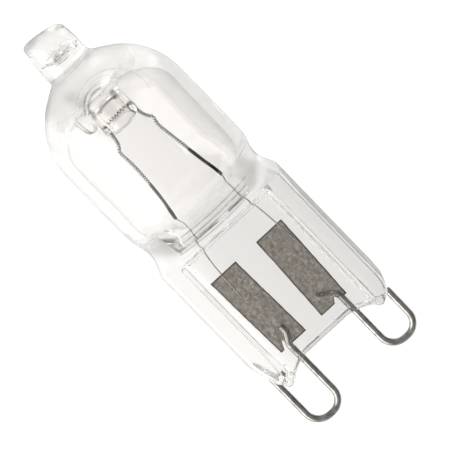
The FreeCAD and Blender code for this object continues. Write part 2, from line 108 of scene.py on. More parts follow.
def ease(share: float) -> float:
    """Blend from 0 to 1 with level ends; the share is held between them."""
    share = held(share)
    return share * share * (3 - 2 * share)


def come_in(value: float, low: float, high: float) -> float:
    """Give 0 to 1, with level ends, as a value goes from low to high."""
    return ease((value - low) / (high - low))


def mix(start: float, end: float, share: float) -> float:
    """Give the value a share of the way from start to end."""
    return start + (end - start) * share


def deselect_all() -> None:
    """Leave edit mode and deselect every object."""
    if bpy.context.object and bpy.context.object.mode != "OBJECT":
        bpy.ops.object.mode_set(mode="OBJECT")
    bpy.ops.object.select_all(action="DESELECT")


def activate(*pieces: bpy.types.Object) -> None:
    """Select only these objects and make the first one active.

    Args:
        pieces: The objects to select.
    """
    deselect_all()
    for piece in pieces:
        piece.select_set(True)
    bpy.context.view_layer.objects.active = pieces[0]


def start_piece(name: str, add: Callable[..., object], **settings: object) -> bpy.types.Object:
    """Add a primitive and put its place into its mesh.

    Args:
        name: The new object's name.
        add: The primitive's operator.
        settings: What the operator is told.

    Returns:
        The new object.
    """
    deselect_all()
    add(**settings)
    piece = bpy.context.object
    piece.name = name
    bpy.ops.object.transform_apply(location=True, rotation=True, scale=True)
    return piece


def apply_modifiers(piece: bpy.types.Object) -> None:
    """Apply all of an object's modifiers, in order.

    Args:
        piece: The object.
    """
    activate(piece)
    for modifier in list(piece.modifiers):
        bpy.ops.object.modifier_apply(modifier=modifier.name)


def subdivide(piece: bpy.types.Object, levels: int) -> None:
    """Smooth an object with an applied Subdivision Surface modifier.

    Args:
        piece: The object.
        levels: How often its faces are divided.
    """
    modifier = piece.modifiers.new("smooth", "SUBSURF")
    modifier.levels = levels
    modifier.render_levels = levels
    apply_modifiers(piece)


def turn_normals(piece: bpy.types.Object, inward: bool = False) -> None:
    """Turn all normals of a closed skin outwards, or inwards for a hollow in the glass.

    Args:
        piece: The skin.
        inward: True for a hollow.
    """
    activate(piece)
    bpy.ops.object.mode_set(mode="EDIT")
    bpy.ops.mesh.select_all(action="SELECT")
    bpy.ops.mesh.normals_make_consistent(inside=inward)
    bpy.ops.object.mode_set(mode="OBJECT")


def let_light_through(piece: bpy.types.Object) -> None:
    """Keep an object from shading the floor and the pieces inside the glass.

    Args:
        piece: The object.
    """
    piece.visible_shadow = False
    piece.visible_diffuse = False


def finish_piece(piece: bpy.types.Object, finish: bpy.types.Material, node: str) -> None:
    """Shade a modelled piece, ride it on the lamp and hide the node it stands for.

    Args:
        piece: The object, its mesh in lamp millimetres.
        finish: Its material.
        node: The node that the piece replaces.
    """
    activate(piece)
    bpy.ops.object.shade_smooth()
    piece.data.materials.clear()
    piece.data.materials.append(finish)
    piece.data.transform(LAMP)
    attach(piece, BODY)
    let_light_through(piece)
    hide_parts(node)
    LOG.info("%s: %d faces", piece.name, len(piece.data.polygons))


# Shader maths


class Signal:
    """A shader socket that can be used in Python expressions."""

    def __init__(self, nodes: "Nodes", socket: bpy.types.NodeSocket) -> None:
        """Wrap an output socket of a node tree."""
        self.nodes = nodes
        self.socket = socket

    def _math(self, operation: str, *values: "Value") -> "Signal":
        """Add one Math node on the values."""
        return self.nodes.node("ShaderNodeMath", {"operation": operation}, dict(enumerate(values)))

    def __add__(self, other: "Value") -> "Signal":
        """Add."""
        return self._math("ADD", self, other)

    def __radd__(self, other: "Value") -> "Signal":
        """Add to a number."""
        return self._math("ADD", other, self)

    def __sub__(self, other: "Value") -> "Signal":
        """Subtract."""
        return self._math("SUBTRACT", self, other)

    def __rsub__(self, other: "Value") -> "Signal":
        """Subtract from a number."""
        return self._math("SUBTRACT", other, self)

    def __mul__(self, other: "Value") -> "Signal":
        """Multiply."""
        return self._math("MULTIPLY", self, other)

    def __rmul__(self, other: "Value") -> "Signal":
        """Multiply a number."""
        return self._math("MULTIPLY", other, self)

    def clipped(self) -> "Signal":
        """Hold the value between 0 and 1."""
        return self.nodes.node("ShaderNodeClamp", {}, {"Value": self})


Value = Union[Signal, float, Sequence[float]]


class Nodes:
    """A node tree that grows by expressions and by one method for all other nodes."""

    def __init__(self, tree: bpy.types.NodeTree) -> None:
        """Start on a tree."""
        self.tree = tree

    def node(
            self, kind: str, settings: dict[str, object], inputs: dict[Union[str, int], Value],
            output: Union[str, int] = 0) -> Signal:
        """Add a node.

        Args:
            kind: The node's type.
            settings: Its properties, set first; a ramp's stops are given as "stops".
            inputs: Its sockets' values or links.
            output: The socket to give back.

        Returns:
            The output as a signal.
        """
        made = self.tree.nodes.new(kind)
        for key, value in settings.items():
            if key == "stops":
                self._set_stops(made.color_ramp, value)
            else:
                setattr(made, key, value)
        for key, value in inputs.items():
            self._feed(made.inputs[key], value)
        return Signal(self, made.outputs[output])

    @staticmethod
    def _set_stops(ramp: bpy.types.ColorRamp, stops: Sequence[tuple[float, Sequence[float]]]) -> None:
        """Give a colour ramp its stops."""
        while len(ramp.elements) < len(stops):
            ramp.elements.new(0.5)
        for element, (position, colour) in zip(ramp.elements, stops):
            element.position = position
            element.color = (*colour, 1.0)

    def _feed(self, socket: bpy.types.NodeSocket, value: Value) -> None:
        """Link a signal to a socket, or set its value."""
        if isinstance(value, Signal):
            self.tree.links.new(value.socket, socket)
        else:
            socket.default_value = value

    def span(self, value: Signal, low: float, high: float, kind: str = "LINEAR") -> Signal:
        """Give 0 to 1 as a value goes from low to high."""
        return self.node(
            "ShaderNodeMapRange", {"interpolation_type": kind},
            {"Value": value, "From Min": low, "From Max": high})

    def window(self, value: Signal, low: float, high: float, fade: float) -> Signal:
        """Give 1 while a value is between low and high, with a fade inside both."""
        return self.span(value, low, low + fade) * self.span(value, high, high - fade)


class Shader(Nodes):
    """One material with a Principled surface and the nodes that feed it."""

    def __init__(self, name: str) -> None:
        """Start a material."""
        self.material = bpy.data.materials.new(name)
        self.material.use_nodes = True
        super().__init__(self.material.node_tree)
        self.surface = self.tree.nodes["Principled BSDF"]

    def set(self, **values: Value) -> "Shader":
        """Set or link sockets of the surface; an underscore stands for a space.

        Returns:
            The shader itself.
        """
        for key, value in values.items():
            self._feed(self.surface.inputs[key.replace("_", " ")], value)
        return self

    def cover(self, share: Signal, colour: Spot) -> None:
        """Lay a matt colour over a share of the surface.

        Args:
            share: How much of it covers each spot, 0 to 1.
            colour: The colour.
        """
        matt = self.node("ShaderNodeBsdfDiffuse", {}, {"Color": (*colour, 1.0)})
        glass = Signal(self, self.surface.outputs[0])
        mixed = self.node("ShaderNodeMixShader", {}, {0: share, 1: glass, 2: matt})
        self.tree.links.new(mixed.socket, self.tree.nodes["Material Output"].inputs["Surface"])

    def place(self, scale: Sequence[float] = (1, 1, 1)) -> Signal:
        """Give the object coordinates turned into the lamp's own frame, in millimetres times scale."""
        coordinates = self.node("ShaderNodeTexCoord", {}, {}, "Object")
        place, turn, size = LAMP.decompose()
        local = self.node(
            "ShaderNodeMapping", {"vector_type": "TEXTURE"},
            {"Vector": coordinates, "Location": place, "Rotation": turn.to_euler(), "Scale": size})
        return self.node("ShaderNodeMapping", {"vector_type": "POINT"}, {"Vector": local, "Scale": scale})

    def noise(self, place: Signal, scale: float, detail: float, distortion: float = 0.0) -> Signal:
        """Give a noise value over the surface, about 0 to 1."""
        return self.node(
            "ShaderNodeTexNoise", {},
            {"Vector": place, "Scale": scale, "Detail": detail, "Distortion": distortion}, "Fac")

    def bump(self, height: Signal, strength: float, distance: float) -> Signal:
        """Give a normal that follows a height, its distance in millimetres."""
        return self.node(
            "ShaderNodeBump", {},
            {"Height": height, "Strength": strength, "Distance": distance * MM}, "Normal")

    def axis(self, place: Signal, name: str) -> Signal:
        """Give one coordinate of a place."""
        return self.node("ShaderNodeSeparateXYZ", {}, {"Vector": place}, name)

    def blend(self, share: Signal, start: Value, end: Value) -> Signal:
        """Blend two colours."""
        return self.node("ShaderNodeMix", {"data_type": "RGBA"}, {0: share, 6: start, 7: end}, 2)

    def ramp(self, value: Signal, stops: Sequence[tuple[float, Sequence[float]]]) -> Signal:
        """Give a colour that follows a value."""
        return self.node("ShaderNodeValToRGB", {"stops": stops}, {"Fac": value}, "Color")


@dataclass(frozen=True)
class StriaShade:
    """One line of painted shade in the front of the glass, along a flow line, part of an arc.

    Its places are given as they line up in the view: a point of the front shows lower and further
    to the left than its height and width say, by seen_shift for each millimetre of depth.
    """

    hub: Flat
    radius: float
    half_width: float
    across: Flat
    heights: Flat
    strength: float
    front: float = -3.0
    seen_shift: Flat = (0.117, 0.186)
    fade: float = 0.3
    front_fade: float = 0.2

    def share(self, shader: Shader, spot: Signal) -> Signal:
        """Give how dark the line is at a place, 0 to 1."""
        depth = shader.axis(spot, "Y")
        x = shader.axis(spot, "X") + depth * self.seen_shift[0]
        z = shader.axis(spot, "Z") + depth * self.seen_shift[1]
        aside, above = x - self.hub[0], z - self.hub[1]
        middle, reach = self.radius ** 2, 2 * self.radius * self.half_width
        line = shader.window(aside * aside + above * above, middle - reach, middle + reach, reach)
        line = line * shader.window(x, *self.across, self.fade) * shader.window(z, *self.heights, self.fade)
        return line * self.strength * shader.span(depth, self.front, self.front - self.front_fade)


@dataclass(frozen=True)
class QuartzFinish:
    """Clear fused quartz with faint draw lines, its colour carrying painted shade: greyer towards its right
    side, where less light falls, greyer on the thick pinch both for its thick glass and as painted shade,
    darker at its rims and along a thin outline, and crossed by painted dark lines.

    Each row of greys goes from the capsule's left side to its right. A pair of numbers is a stretch
    over which something comes in, in millimetres or in how far the surface turns from the view.
    """

    # Painted shade: each row of greys darkens from the left side to the right, as less light falls there; the
    # pinch's row is greyer for its thick glass and as painted shade too.
    across: tuple[float, ...] = (-6.5, -4.8, -2.0, 1.5, 4.2, 5.4, 6.5)
    pinch: tuple[float, ...] = (0.92, 0.90, 0.765, 0.735, 0.745, 0.705, 0.66)
    capsule: tuple[float, ...] = (0.975, 0.965, 0.935, 0.905, 0.875, 0.765, 0.68)
    stub: tuple[float, ...] = (0.93, 0.93, 0.905, 0.86, 0.835, 0.83, 0.83)
    pinch_to_capsule: Flat = (12.6, 15.5)
    capsule_to_stub: Flat = (26.5, 29.5)
    warmth: Spot = (1.01, 0.998, 0.987)
    # Painted shade: the colour turns towards this grey where the surface turns away from the view, for dark
    # rims.
    rim: Spot = (0.36, 0.35, 0.34)
    rim_shade_turn: Flat = (0.6, 0.95)
    rim_shade_share: float = 0.85
    # Painted shade: a thin matt grey laid over the glass where its surface turns away from the view, and
    # along the pinch's left front edge.
    outline: Spot = (0.25, 0.245, 0.24)
    outline_shade_turn: Flat = (0.84, 0.96)
    outline_shade_share: float = 0.7
    pinch_starts: Flat = (13.5, 12.5)
    pinch_widens: float = 0.04
    stub_starts: Flat = (30.6, 31.4)
    stub_widens: float = 0.12
    flank_edge: Flat = (-6.3, -6.42)
    flank_front: Flat = (-1.75, -2.0)
    flank_shade_share: float = 0.45
    # Painted shade: the colour of the dark lines drawn at the bore's end, the tube's lip, across the neck and
    # along the flow lines.
    painted_line_shade: Spot = (0.10, 0.095, 0.09)
    bore_end: Flat = (27.42, 27.62)
    bore_end_bend: float = 0.28
    bore_end_top: Flat = (28.05, 27.95)
    bore_end_reach: float = 1.3
    bore_end_share: float = 0.9
    lip_top: Flat = (25.22, 25.1)
    lip_nod: float = 0.27
    lip_foot: Flat = (24.2, 24.3)
    lip_reach: float = 1.9
    lip_share: float = 0.5
    line_breaks: Flat = (0.30, 0.42)
    haze: float = 0.4
    crown_haze: Flat = (28.6, 31.3)
    crown_growth: Flat = (28.6, 29.6)
    crown_start: float = 0.25
    crown_end: float = 1.4
    end_haze: Flat = (33.8, 34.2)
    neck_haze: Flat = (13.1, 16.6)
    neck_clear: float = 4.0
    sharp: float = 0.001
    index: float = 1.46
    ripple: float = 0.12
    # Painted shade: dark arcs round the inner tube's top along flow lines; the last two are dark bands across
    # the neck.
    stria_shades: tuple[StriaShade, ...] = (
        StriaShade((0.05, 26.5), 1.62, 0.17, (-1.75, 0.9), (27.0, 28.8), 0.95),
        StriaShade((0.1, 26.5), 1.98, 0.07, (-2.0, 1.4), (27.0, 29.0), 0.8),
        StriaShade((0.3, 26.2), 2.40, 0.08, (-2.3, 2.5), (27.0, 29.2), 0.7),
        StriaShade((0.35, 26.05), 2.75, 0.06, (-1.2, 3.0), (27.5, 29.3), 0.5),
        StriaShade((0.4, 26.0), 3.20, 0.06, (-2.0, 3.8), (25.2, 29.6), 0.5),
        StriaShade((0.2, 26.9), 2.87, 0.11, (-3.2, -2.2), (25.6, 27.8), 0.85),
        StriaShade((-2.2, 26.1), 0.42, 0.11, (-2.8, -1.6), (25.4, 26.3), 0.85),
        StriaShade((0.2, 44.15), 30.0, 0.12, (-3.9, 4.2), (13.6, 15.0), 0.8, -0.9),
        StriaShade((0.2, 42.7), 29.8, 0.12, (-4.5, 3.0), (12.3, 13.7), 0.8, -0.9))

    def build(self) -> bpy.types.Material:
        """Make the material."""
        shader = Shader("quartz_glass")
        spot = shader.place()
        height = shader.axis(spot, "Z")
        across = shader.span(shader.axis(spot, "X"), self.across[0], self.across[-1])
        # Painted shade: greys by place, darker towards the glass's right side and on the pinch.
        shaded_tint = self._ramp(shader, across, self.pinch)
        for stretch, greys in ((self.pinch_to_capsule, self.capsule), (self.capsule_to_stub, self.stub)):
            shaded_tint = shader.blend(shader.span(height, *stretch), shaded_tint, self._ramp(shader, across, greys))
        # Painted shade: darken the colour towards the rim grey where the glass turns away from the view.
        turned = shader.node("ShaderNodeLayerWeight", {}, {"Blend": 0.5}, "Facing")
        edge = shader.span(turned, *self.rim_shade_turn, "SMOOTHSTEP") * self.rim_shade_share
        shaded_tint = shader.blend(edge, shaded_tint, (*self.rim, 1.0))
        # Painted shade: blend in the dark lines at the bore's end, the lip, the neck and the flow lines.
        shaded_tint = shader.blend(self._painted_dark_lines(shader, spot), shaded_tint, (*self.painted_line_shade, 1.0))
        waves = shader.noise(shader.place((0.35, 0.35, 0.12)), scale=1.0, detail=2.0, distortion=0.4)
        shader.set(
            Base_Color=shaded_tint, Roughness=self._haze(shader, spot), IOR=self.index,
            Transmission_Weight=1.0, Normal=shader.bump(waves, self.ripple, distance=0.2))
        # Painted shade: lay the matt grey outline over the glass's edges.
        shader.cover(self._painted_outline(shader, spot, turned), self.outline)
        return shader.material

    def _painted_outline(self, shader: Shader, spot: Signal, turned: Signal) -> Signal:
        """Give how much of the thin grey line of painted shade along the glass's edges shows.

        It is wider on the pinch and the stub, where the edges are rounded more tightly, and it is
        laid by place along the pinch's left front edge.
        """
        pinched = shader.span(shader.axis(spot, "Z"), *self.pinch_starts)
        stub = shader.span(shader.axis(spot, "Z"), *self.stub_starts)
        start, end = self.outline_shade_turn
        start = start - pinched * self.pinch_widens - stub * self.stub_widens
        line = shader.span(turned, start, end, "SMOOTHSTEP") * self.outline_shade_share
        flank = shader.span(shader.axis(spot, "X"), *self.flank_edge) * self.flank_shade_share
        flank = flank * shader.span(shader.axis(spot, "Y"), *self.flank_front) * pinched
        return (line + flank).clipped()

    def _painted_dark_lines(self, shader: Shader, spot: Signal) -> Signal:
        """Give where painted shade darkens the glass: dark lines at the end of the inner tube's bore, at its
        lip, across the neck and along the flow lines.
        """
        across, height = shader.axis(spot, "X"), shader.axis(spot, "Z")
        crescent = shader.span(height + across * across * self.bore_end_bend, *self.bore_end)
        crescent = crescent * shader.span(height, *self.bore_end_top)
        lip = shader.span(height - shader.axis(spot, "Y") * self.lip_nod, *self.lip_top)
        lip = lip * shader.span(height, *self.lip_foot)
        marks = crescent * self._within(shader, spot, self.bore_end_reach) * self.bore_end_share
        marks = marks + lip * self._within(shader, spot, self.lip_reach) * self.lip_share
        breaks = shader.span(shader.noise(spot, scale=0.9, detail=2.0), *self.line_breaks)
        # Painted shade along each flow line and neck band, broken by noise.
        for stria in self.stria_shades:
            marks = marks + stria.share(shader, spot) * breaks
        return marks.clipped()

    @staticmethod
    def _within(shader: Shader, spot: Signal, reach: float, fade: float = 0.1) -> Signal:
        """Give 1 inside a square column about the axis and 0 outside it."""
        edge = reach + fade
        across = shader.window(shader.axis(spot, "X"), -edge, edge, fade)
        return across * shader.window(shader.axis(spot, "Y"), -edge, edge, fade)

    def _haze(self, shader: Shader, spot: Signal) -> Signal:
        """Give the roughness: flame-worked haze on the dome's crown, the stub's end and the neck's sides."""
        across, height = shader.axis(spot, "X"), shader.axis(spot, "Z")
        crown, neck = (
            shader.window(height, low, high + self.sharp, self.sharp)
            for low, high in (self.crown_haze, self.neck_haze))
        growth = shader.span(height, *self.crown_growth) * (self.crown_end - self.crown_start)
        crown = crown * (growth + self.crown_start)
        clear = self.neck_clear + self.sharp
        sides = 1 - shader.window(across, -clear, clear, self.sharp)
        return ((crown + shader.span(height, *self.end_haze) + neck * sides) * self.haze).clipped()

    def _ramp(self, shader: Shader, across: Signal, greys: Sequence[float]) -> Signal:
        """Give a row of greys over the width of the glass: painted shade, darker where less light falls."""
        low, high = self.across[0], self.across[-1]
        stops = []
        for place, grey in zip(self.across, greys):
            colour = [min(grey * part, 1.0) for part in self.warmth]
            stops.append(((place - low) / (high - low), colour))
        return shader.ramp(across, stops)


@dataclass(frozen=True)
class WireFinish:
    """Bare drawn wire: satin metal with fine lines along it and a faint tarnish."""

    name: str
    dark: Spot
    light: Spot
    roughness: float

    def build(self) -> bpy.types.Material:
        """Make the material."""
        shader = Shader(self.name)
        patches = shader.noise(shader.place(), scale=1.6, detail=4.0, distortion=0.5)
        lines = shader.noise(shader.place((6.0, 6.0, 0.6)), scale=3.0, detail=3.0)
        shader.set(
            Base_Color=shader.ramp(patches, [(0.35, self.dark), (0.65, self.light)]),
            Metallic=1.0,
            Roughness=(self.roughness + (lines - 0.5) * 0.12).clipped(),
            Normal=shader.bump(lines, strength=0.25, distance=0.01))
        return shader.material


@dataclass(frozen=True)
class FoilFinish:
    """Dull molybdenum foil: mottled grey-brown with a rolled grain and a crinkled skin."""

    dark: Spot = (0.145, 0.130, 0.114)
    middle: Spot = (0.245, 0.224, 0.197)
    light: Spot = (0.400, 0.372, 0.336)
    edge: Spot = (0.030, 0.027, 0.024)

    def build(self) -> bpy.types.Material:
        """Make the material."""
        shader = Shader("molybdenum_foil")
        blotches = shader.noise(shader.place(), scale=2.6, detail=8.0, distortion=0.5)
        grain = shader.noise(shader.place((3.0, 1.0, 1.6)), scale=3.4, detail=5.0, distortion=0.5)
        crinkle = shader.noise(shader.place((1.6, 1.0, 1.0)), scale=2.6, detail=3.0, distortion=1.4)
        shade = blotches * 0.55 + grain * 0.45
        colour = shader.ramp(shade, [(0.36, self.dark), (0.5, self.middle), (0.64, self.light)])
        flat = shader.node("ShaderNodeTexCoord", {}, {}, "UV")
        inside = shader.window(shader.axis(flat, "X"), 0.015, 0.985, fade=0.045)
        inside = inside * shader.window(shader.axis(flat, "Y"), 0.006, 0.994, fade=0.014)
        colour = shader.blend(1 - inside, colour, (*self.edge, 1.0))
        shader.set(
            Base_Color=colour, Metallic=0.55,
            Roughness=(0.42 + (grain - 0.5) * 0.35).clipped(),
            Normal=shader.bump(crinkle + grain * 0.4, strength=0.5, distance=0.06))
        return shader.material


@dataclass(frozen=True)
class PaperFinish:
    """Plain white studio paper."""

    shade: float = 0.86

    def build(self) -> bpy.types.Material:
        """Make the material."""
        shader = Shader("studio_paper")
        white = (self.shade, self.shade, self.shade, 1.0)
        shader.set(Base_Color=white, Roughness=1.0, Specular_IOR_Level=0.0)
        return shader.material


# Skins grown ring by ring


class RingSkin:
    """A closed skin grown from one ring of points by extrusion, each new ring set to its section."""

    def __init__(self, name: str, first: Sequence[Spot]) -> None:
        """Start with a circle and shape it to the first ring.

        Args:
            name: The object's name.
            first: The points of the first ring, in lamp millimetres.
        """
        self.count = len(first)
        self.piece = start_piece(
            name, bpy.ops.mesh.primitive_circle_add, vertices=self.count, radius=1, fill_type="NOTHING")
        bpy.ops.object.mode_set(mode="EDIT")
        bpy.ops.mesh.select_all(action="SELECT")
        shape = bmesh.from_edit_mesh(self.piece.data)
        column = shape.verts.layers.int.new("column")
        for vertex in shape.verts:
            angle = math.atan2(vertex.co.y, vertex.co.x) % math.tau
            vertex[column] = round(angle / math.tau * self.count) % self.count
        self._shape_selected(first)

    def _shape_selected(self, ring: Sequence[Spot]) -> None:
        """Move the selected ring's points to their places."""
        shape = bmesh.from_edit_mesh(self.piece.data)
        column = shape.verts.layers.int["column"]
        for vertex in shape.verts:
            if vertex.select:
                vertex.co = ring[vertex[column]]
        bmesh.update_edit_mesh(self.piece.data)

    def grow(self, rings: Iterable[Sequence[Spot]]) -> "RingSkin":
        """Extrude one ring after another.

        Args:
            rings: The rings, in order.

        Returns:
            The skin itself.
        """
        for ring in rings:
            bpy.ops.mesh.extrude_region_move(TRANSFORM_OT_translate={"value": (0, 0, 1)})
            self._shape_selected(ring)
        return self

    def cap(self) -> "RingSkin":
        """Close the selected ring with a fan of faces about its middle."""
        bpy.ops.mesh.edge_face_add()
        bpy.ops.mesh.poke()
        return self

    def cap_start(self) -> "RingSkin":
        """Close the first ring, once the last one is closed."""
        bpy.ops.mesh.select_all(action="DESELECT")
        shape = bmesh.from_edit_mesh(self.piece.data)
        for edge in shape.edges:
            if edge.is_boundary:
                edge.select_set(True)
        bmesh.update_edit_mesh(self.piece.data)
        return self.cap()

    def ladder(self) -> "RingSkin":
        """Close the first ring, once the last one is closed, with rungs between mirrored columns."""
        shape = bmesh.from_edit_mesh(self.piece.data)
        column = shape.verts.layers.int["column"]
        rim = {}
        for vertex in shape.verts:
            if any(edge.is_boundary for edge in vertex.link_edges):
                rim[vertex[column]] = vertex
        for step in range(self.count // 2):
            corners = [rim[number % self.count] for number in (step, step + 1, -step - 1, -step)]
            shape.faces.new(list(dict.fromkeys(corners)))
        bmesh.update_edit_mesh(self.piece.data)
        return self

    def done(self, inward: bool = False) -> bpy.types.Object:
        """Leave edit mode with all normals outwards, or inwards for a hollow.

        Args:
            inward: True for the skin of a hollow in the glass.

        Returns:
            The finished object.
        """
        turn_normals(self.piece, inward)
        return self.piece


def round_ring(count: int, radius: float, height: float) -> list[Spot]:
    """Give a round ring about the axis.

    Args:
        count: How many points it has.
        radius: Its radius.
        height: Its height.

    Returns:
        The ring's points.
    """
    angles = [math.tau * number / count for number in range(count)]
    return [(radius * math.cos(angle), radius * math.sin(angle), height) for angle in angles]


def arc(middle: float, height: float, reach: float, rise: float, angles: Iterable[float]) -> list[Flat]:
    """Give points of an upright arc.

    Args:
        middle: Its middle's distance from the axis.
        height: Its middle's height.
        reach: Its radius outwards.
        rise: Its radius upwards.
        angles: The points' angles, in degrees from outwards.

    Returns:
        The points, as distance and height.
    """
    turns = [math.radians(angle) for angle in angles]
    return [(middle + reach * math.cos(turn), height + rise * math.sin(turn)) for turn in turns]


def rounded_box(half_width: float, half_depth: float, squareness: float, angle: float) -> Flat:
    """Give the point of a rounded box at an angle; a squareness of 2 makes it an ellipse."""
    across, through = math.cos(angle), math.sin(angle)
    x = half_width * math.copysign(abs(across) ** (2 / squareness), across)
    y = half_depth * math.copysign(abs(through) ** (2 / squareness), through)
    return x, y


@dataclass(frozen=True)
class Foot:
    """The lower outline of one side of the pinch, outwards from the axis and up from the web's edge."""

    inner: float
    outer: float
    drop: float
    heel: float
    heel_height: float
    flank_height: float


@dataclass
class QuartzEnvelope:
    """The one-piece quartz glass: capsule, tip stub, inner tube, neck and pressed seal."""

    radius: float = 6.5
    wall: float = 1.0
    dome_centre: float = 24.6
    crown_tilt: float = 58.0
    shoulder: float = 17.2
    deep_from: float = 18.4
    neck_start: float = 14.3
    neck_squareness: float = 4.5
    neck_dip: float = 0.54
    neck_fullness: float = 0.25
    pinch_top: float = 12.9
    pinch_heights: tuple[float, ...] = (
        4.6, 6.6, 8.6, 10.4, 11.6, 12.05, 12.25, 12.45, 12.65, 12.85, 13.05)
    neck_steps: int = 10
    shoulder_heights: Flat = (17.6, 18.0)
    tube_heights: tuple[float, ...] = (19.2, 20.4, 22.2, 23.6)
    dome_steps: int = 8
    half_width: float = 6.6
    rib: float = 2.4
    web: float = 1.4
    flank_spots: tuple[float, ...] = (0.0, 0.9, 1.5)
    corner: float = 0.6
    corner_steps: int = 5
    rib_edge: tuple[Flat, ...] = ((5.5, 0.0), (5.12, 0.0), (4.94, 0.03), (4.85, 0.14))
    web_edge: tuple[Flat, ...] = ((4.60, 0.14), (4.50, 0.03))
    web_spots: tuple[float, ...] = (4.3, 3.7, 2.8, 1.9, 0.95, 0.0)
    channel_half_width: float = 4.99
    channel_top: float = 12.65
    channel_fade: float = 0.45
    edge_round: float = 0.2
    edge_step: float = 0.02
    foot_zone: float = 3.2
    foot_shares: tuple[float, ...] = (0.15, 0.35, 0.6, 0.8, 1.0)
    foot_from: float = 3.0
    heel_ease: float = 0.35
    left_foot: Foot = Foot(4.65, 5.05, 1.0, 5.85, -0.2, 2.6)
    right_foot: Foot = Foot(5.15, 5.6, 1.1, 6.1, -0.75, 0.2)
    flank_from: float = 5.0
    flank_over: float = 1.5
    stub_radius: float = 2.1
    stub_end_radius: float = 1.93
    stub_top: float = 34.74
    stub_shift: float = 0.1
    stub_bulge: float = 0.05
    stub_slant: float = math.tan(math.radians(9.2))
    stub_shares: tuple[float, ...] = (0.25, 0.5, 0.75, 0.92)
    crease: float = 0.06
    flare: float = 0.9
    root_shares: tuple[float, ...] = (0.0, 0.2, 0.4, 0.6, 0.8, 1.0)
    end_round: float = 0.6
    end_fullness: Flat = (3.2, 2.6)
    end_reaches: tuple[float, ...] = (0.995, 0.95, 0.86, 0.72, 0.5, 0.25)
    pinched: float = 0.3
    slot_sag: float = 0.3
    slot_lean: float = 0.035
    slot_squareness: float = 2.8
    neck_space: tuple[Spot, ...] = (
        (13.60, 3.75, 0.35), (13.64, 4.05, 0.80), (13.74, 4.28, 1.12), (13.94, 4.47, 1.40),
        (14.25, 4.62, 1.70), (14.7, 4.78, 2.12), (15.25, 4.93, 2.75), (15.9, 5.07, 3.52),
        (16.6, 5.27, 4.38), (17.3, 5.43, 5.02), (18.0, 5.50, 5.39), (18.4, 5.50, 5.46))
    space_heights: tuple[float, ...] = (19.2, 20.6, 22.0, 23.4)
    dome_inside: float = 4.2
    groove_radius: float = 0.45
    groove_hub: Flat = (2.11, 27.9)
    tube_outside: tuple[Flat, ...] = ((1.65, 27.2), (1.66, 26.4), (1.70, 25.8), (1.72, 25.45))
    tube_bore: tuple[Flat, ...] = ((1.04, 25.8), (1.08, 26.4), (1.1, 27.0), (1.09, 27.25))
    tube_nod: float = 0.27
    tube_root: float = 27.6
    tube_length: float = 2.2
    tube_within: float = 1.8
    lip_radius: float = 0.36
    lip_hub: Flat = (1.38, 25.34)
    bore_end: Spot = (1.1, 27.3, 0.55)
    cavity_columns: int = 56
    levels: int = 2
    space_levels: int = 1
    ripple: float = 0.05
    ripple_scale: float = 0.9
    ripple_rise: float = 0.3
    foot_ripples: tuple[Flat, Flat] = ((3.2, 0.7), (3.5, 5.0))
    neck_ripple: float = 0.015
    neck_ripples: tuple[Flat, Flat] = ((11.5, 13.0), (18.0, 16.0))
    void_shapes: tuple[tuple[Spot, Spot, float], ...] = (
        ((-0.05, 0.2, 32.55), (1.05, 0.70, 0.42), 0.30),
        ((0.05, -0.75, 32.08), (0.58, 0.10, 0.17), 0.06),
        ((1.35, -0.35, 32.35), (0.34, 0.20, 0.30), 0.22))
    void_seed: Spot = (3.1, 0.4, 2.2)

    def section_loop(self) -> list[Flat]:
        """Give the pinch's whole section, anticlockwise from the right flank's middle."""
        turns = [90 * step / self.corner_steps for step in range(self.corner_steps + 1)]
        quarter = [(self.half_width, y) for y in self.flank_spots]
        quarter += arc(self.half_width - self.corner, self.rib - self.corner, self.corner, self.corner, turns)
        quarter += [(x, self.rib - drop) for x, drop in self.rib_edge]
        quarter += [(x, self.web + rise) for x, rise in self.web_edge]
        quarter += [(x, self.web) for x in self.web_spots]
        upper = quarter + [(-x, y) for x, y in quarter[-2::-1]]
        return upper + [(x, -y) for x, y in upper[-2:0:-1]]

    def bottom_height(self, foot: Foot, reach: float) -> float:
        """Give the height of the pinch's lower outline.

        Args:
            foot: The foot on that side.
            reach: The distance from the axis.

        Returns:
            The height.
        """
        if reach <= foot.outer:
            return -foot.drop * held((reach - self.foot_from) / (foot.inner - self.foot_from))
        share = (reach - foot.outer) / (self.half_width - foot.outer)
        return mix(-foot.drop, foot.heel_height, mix(share, ease(share), self.heel_ease))

    def pinch_ring(self, share: float, inset: float = 0.0, lift: float = 0.0) -> list[Spot]:
        """Give a ring of the pinch's foot zone.

        Args:
            share: 0 at the lower outline and 1 at the zone's top.
            inset: How far the ring lies inside the section, for the rounded lower edge.
            lift: How far the ring is lifted off the lower outline.

        Returns:
            The ring's points.
        """
        ring = []
        for x, y in self.section_loop():
            foot = self.left_foot if x < 0 else self.right_foot
            height = mix(self.bottom_height(foot, abs(x)) + lift, self.foot_zone, share)
            risen = held((height - foot.heel_height) / (foot.flank_height - foot.heel_height))
            drawn = (self.half_width - foot.heel) * (1 - risen)
            x -= math.copysign(drawn * ease((abs(x) - self.flank_from) / self.flank_over), x)
            pull = inset * ease(abs(x) / self.half_width * 4 - 3)
            ring.append((x - math.copysign(pull, x), y - math.copysign(inset, y) * min(abs(y), 1), height))
        return ring

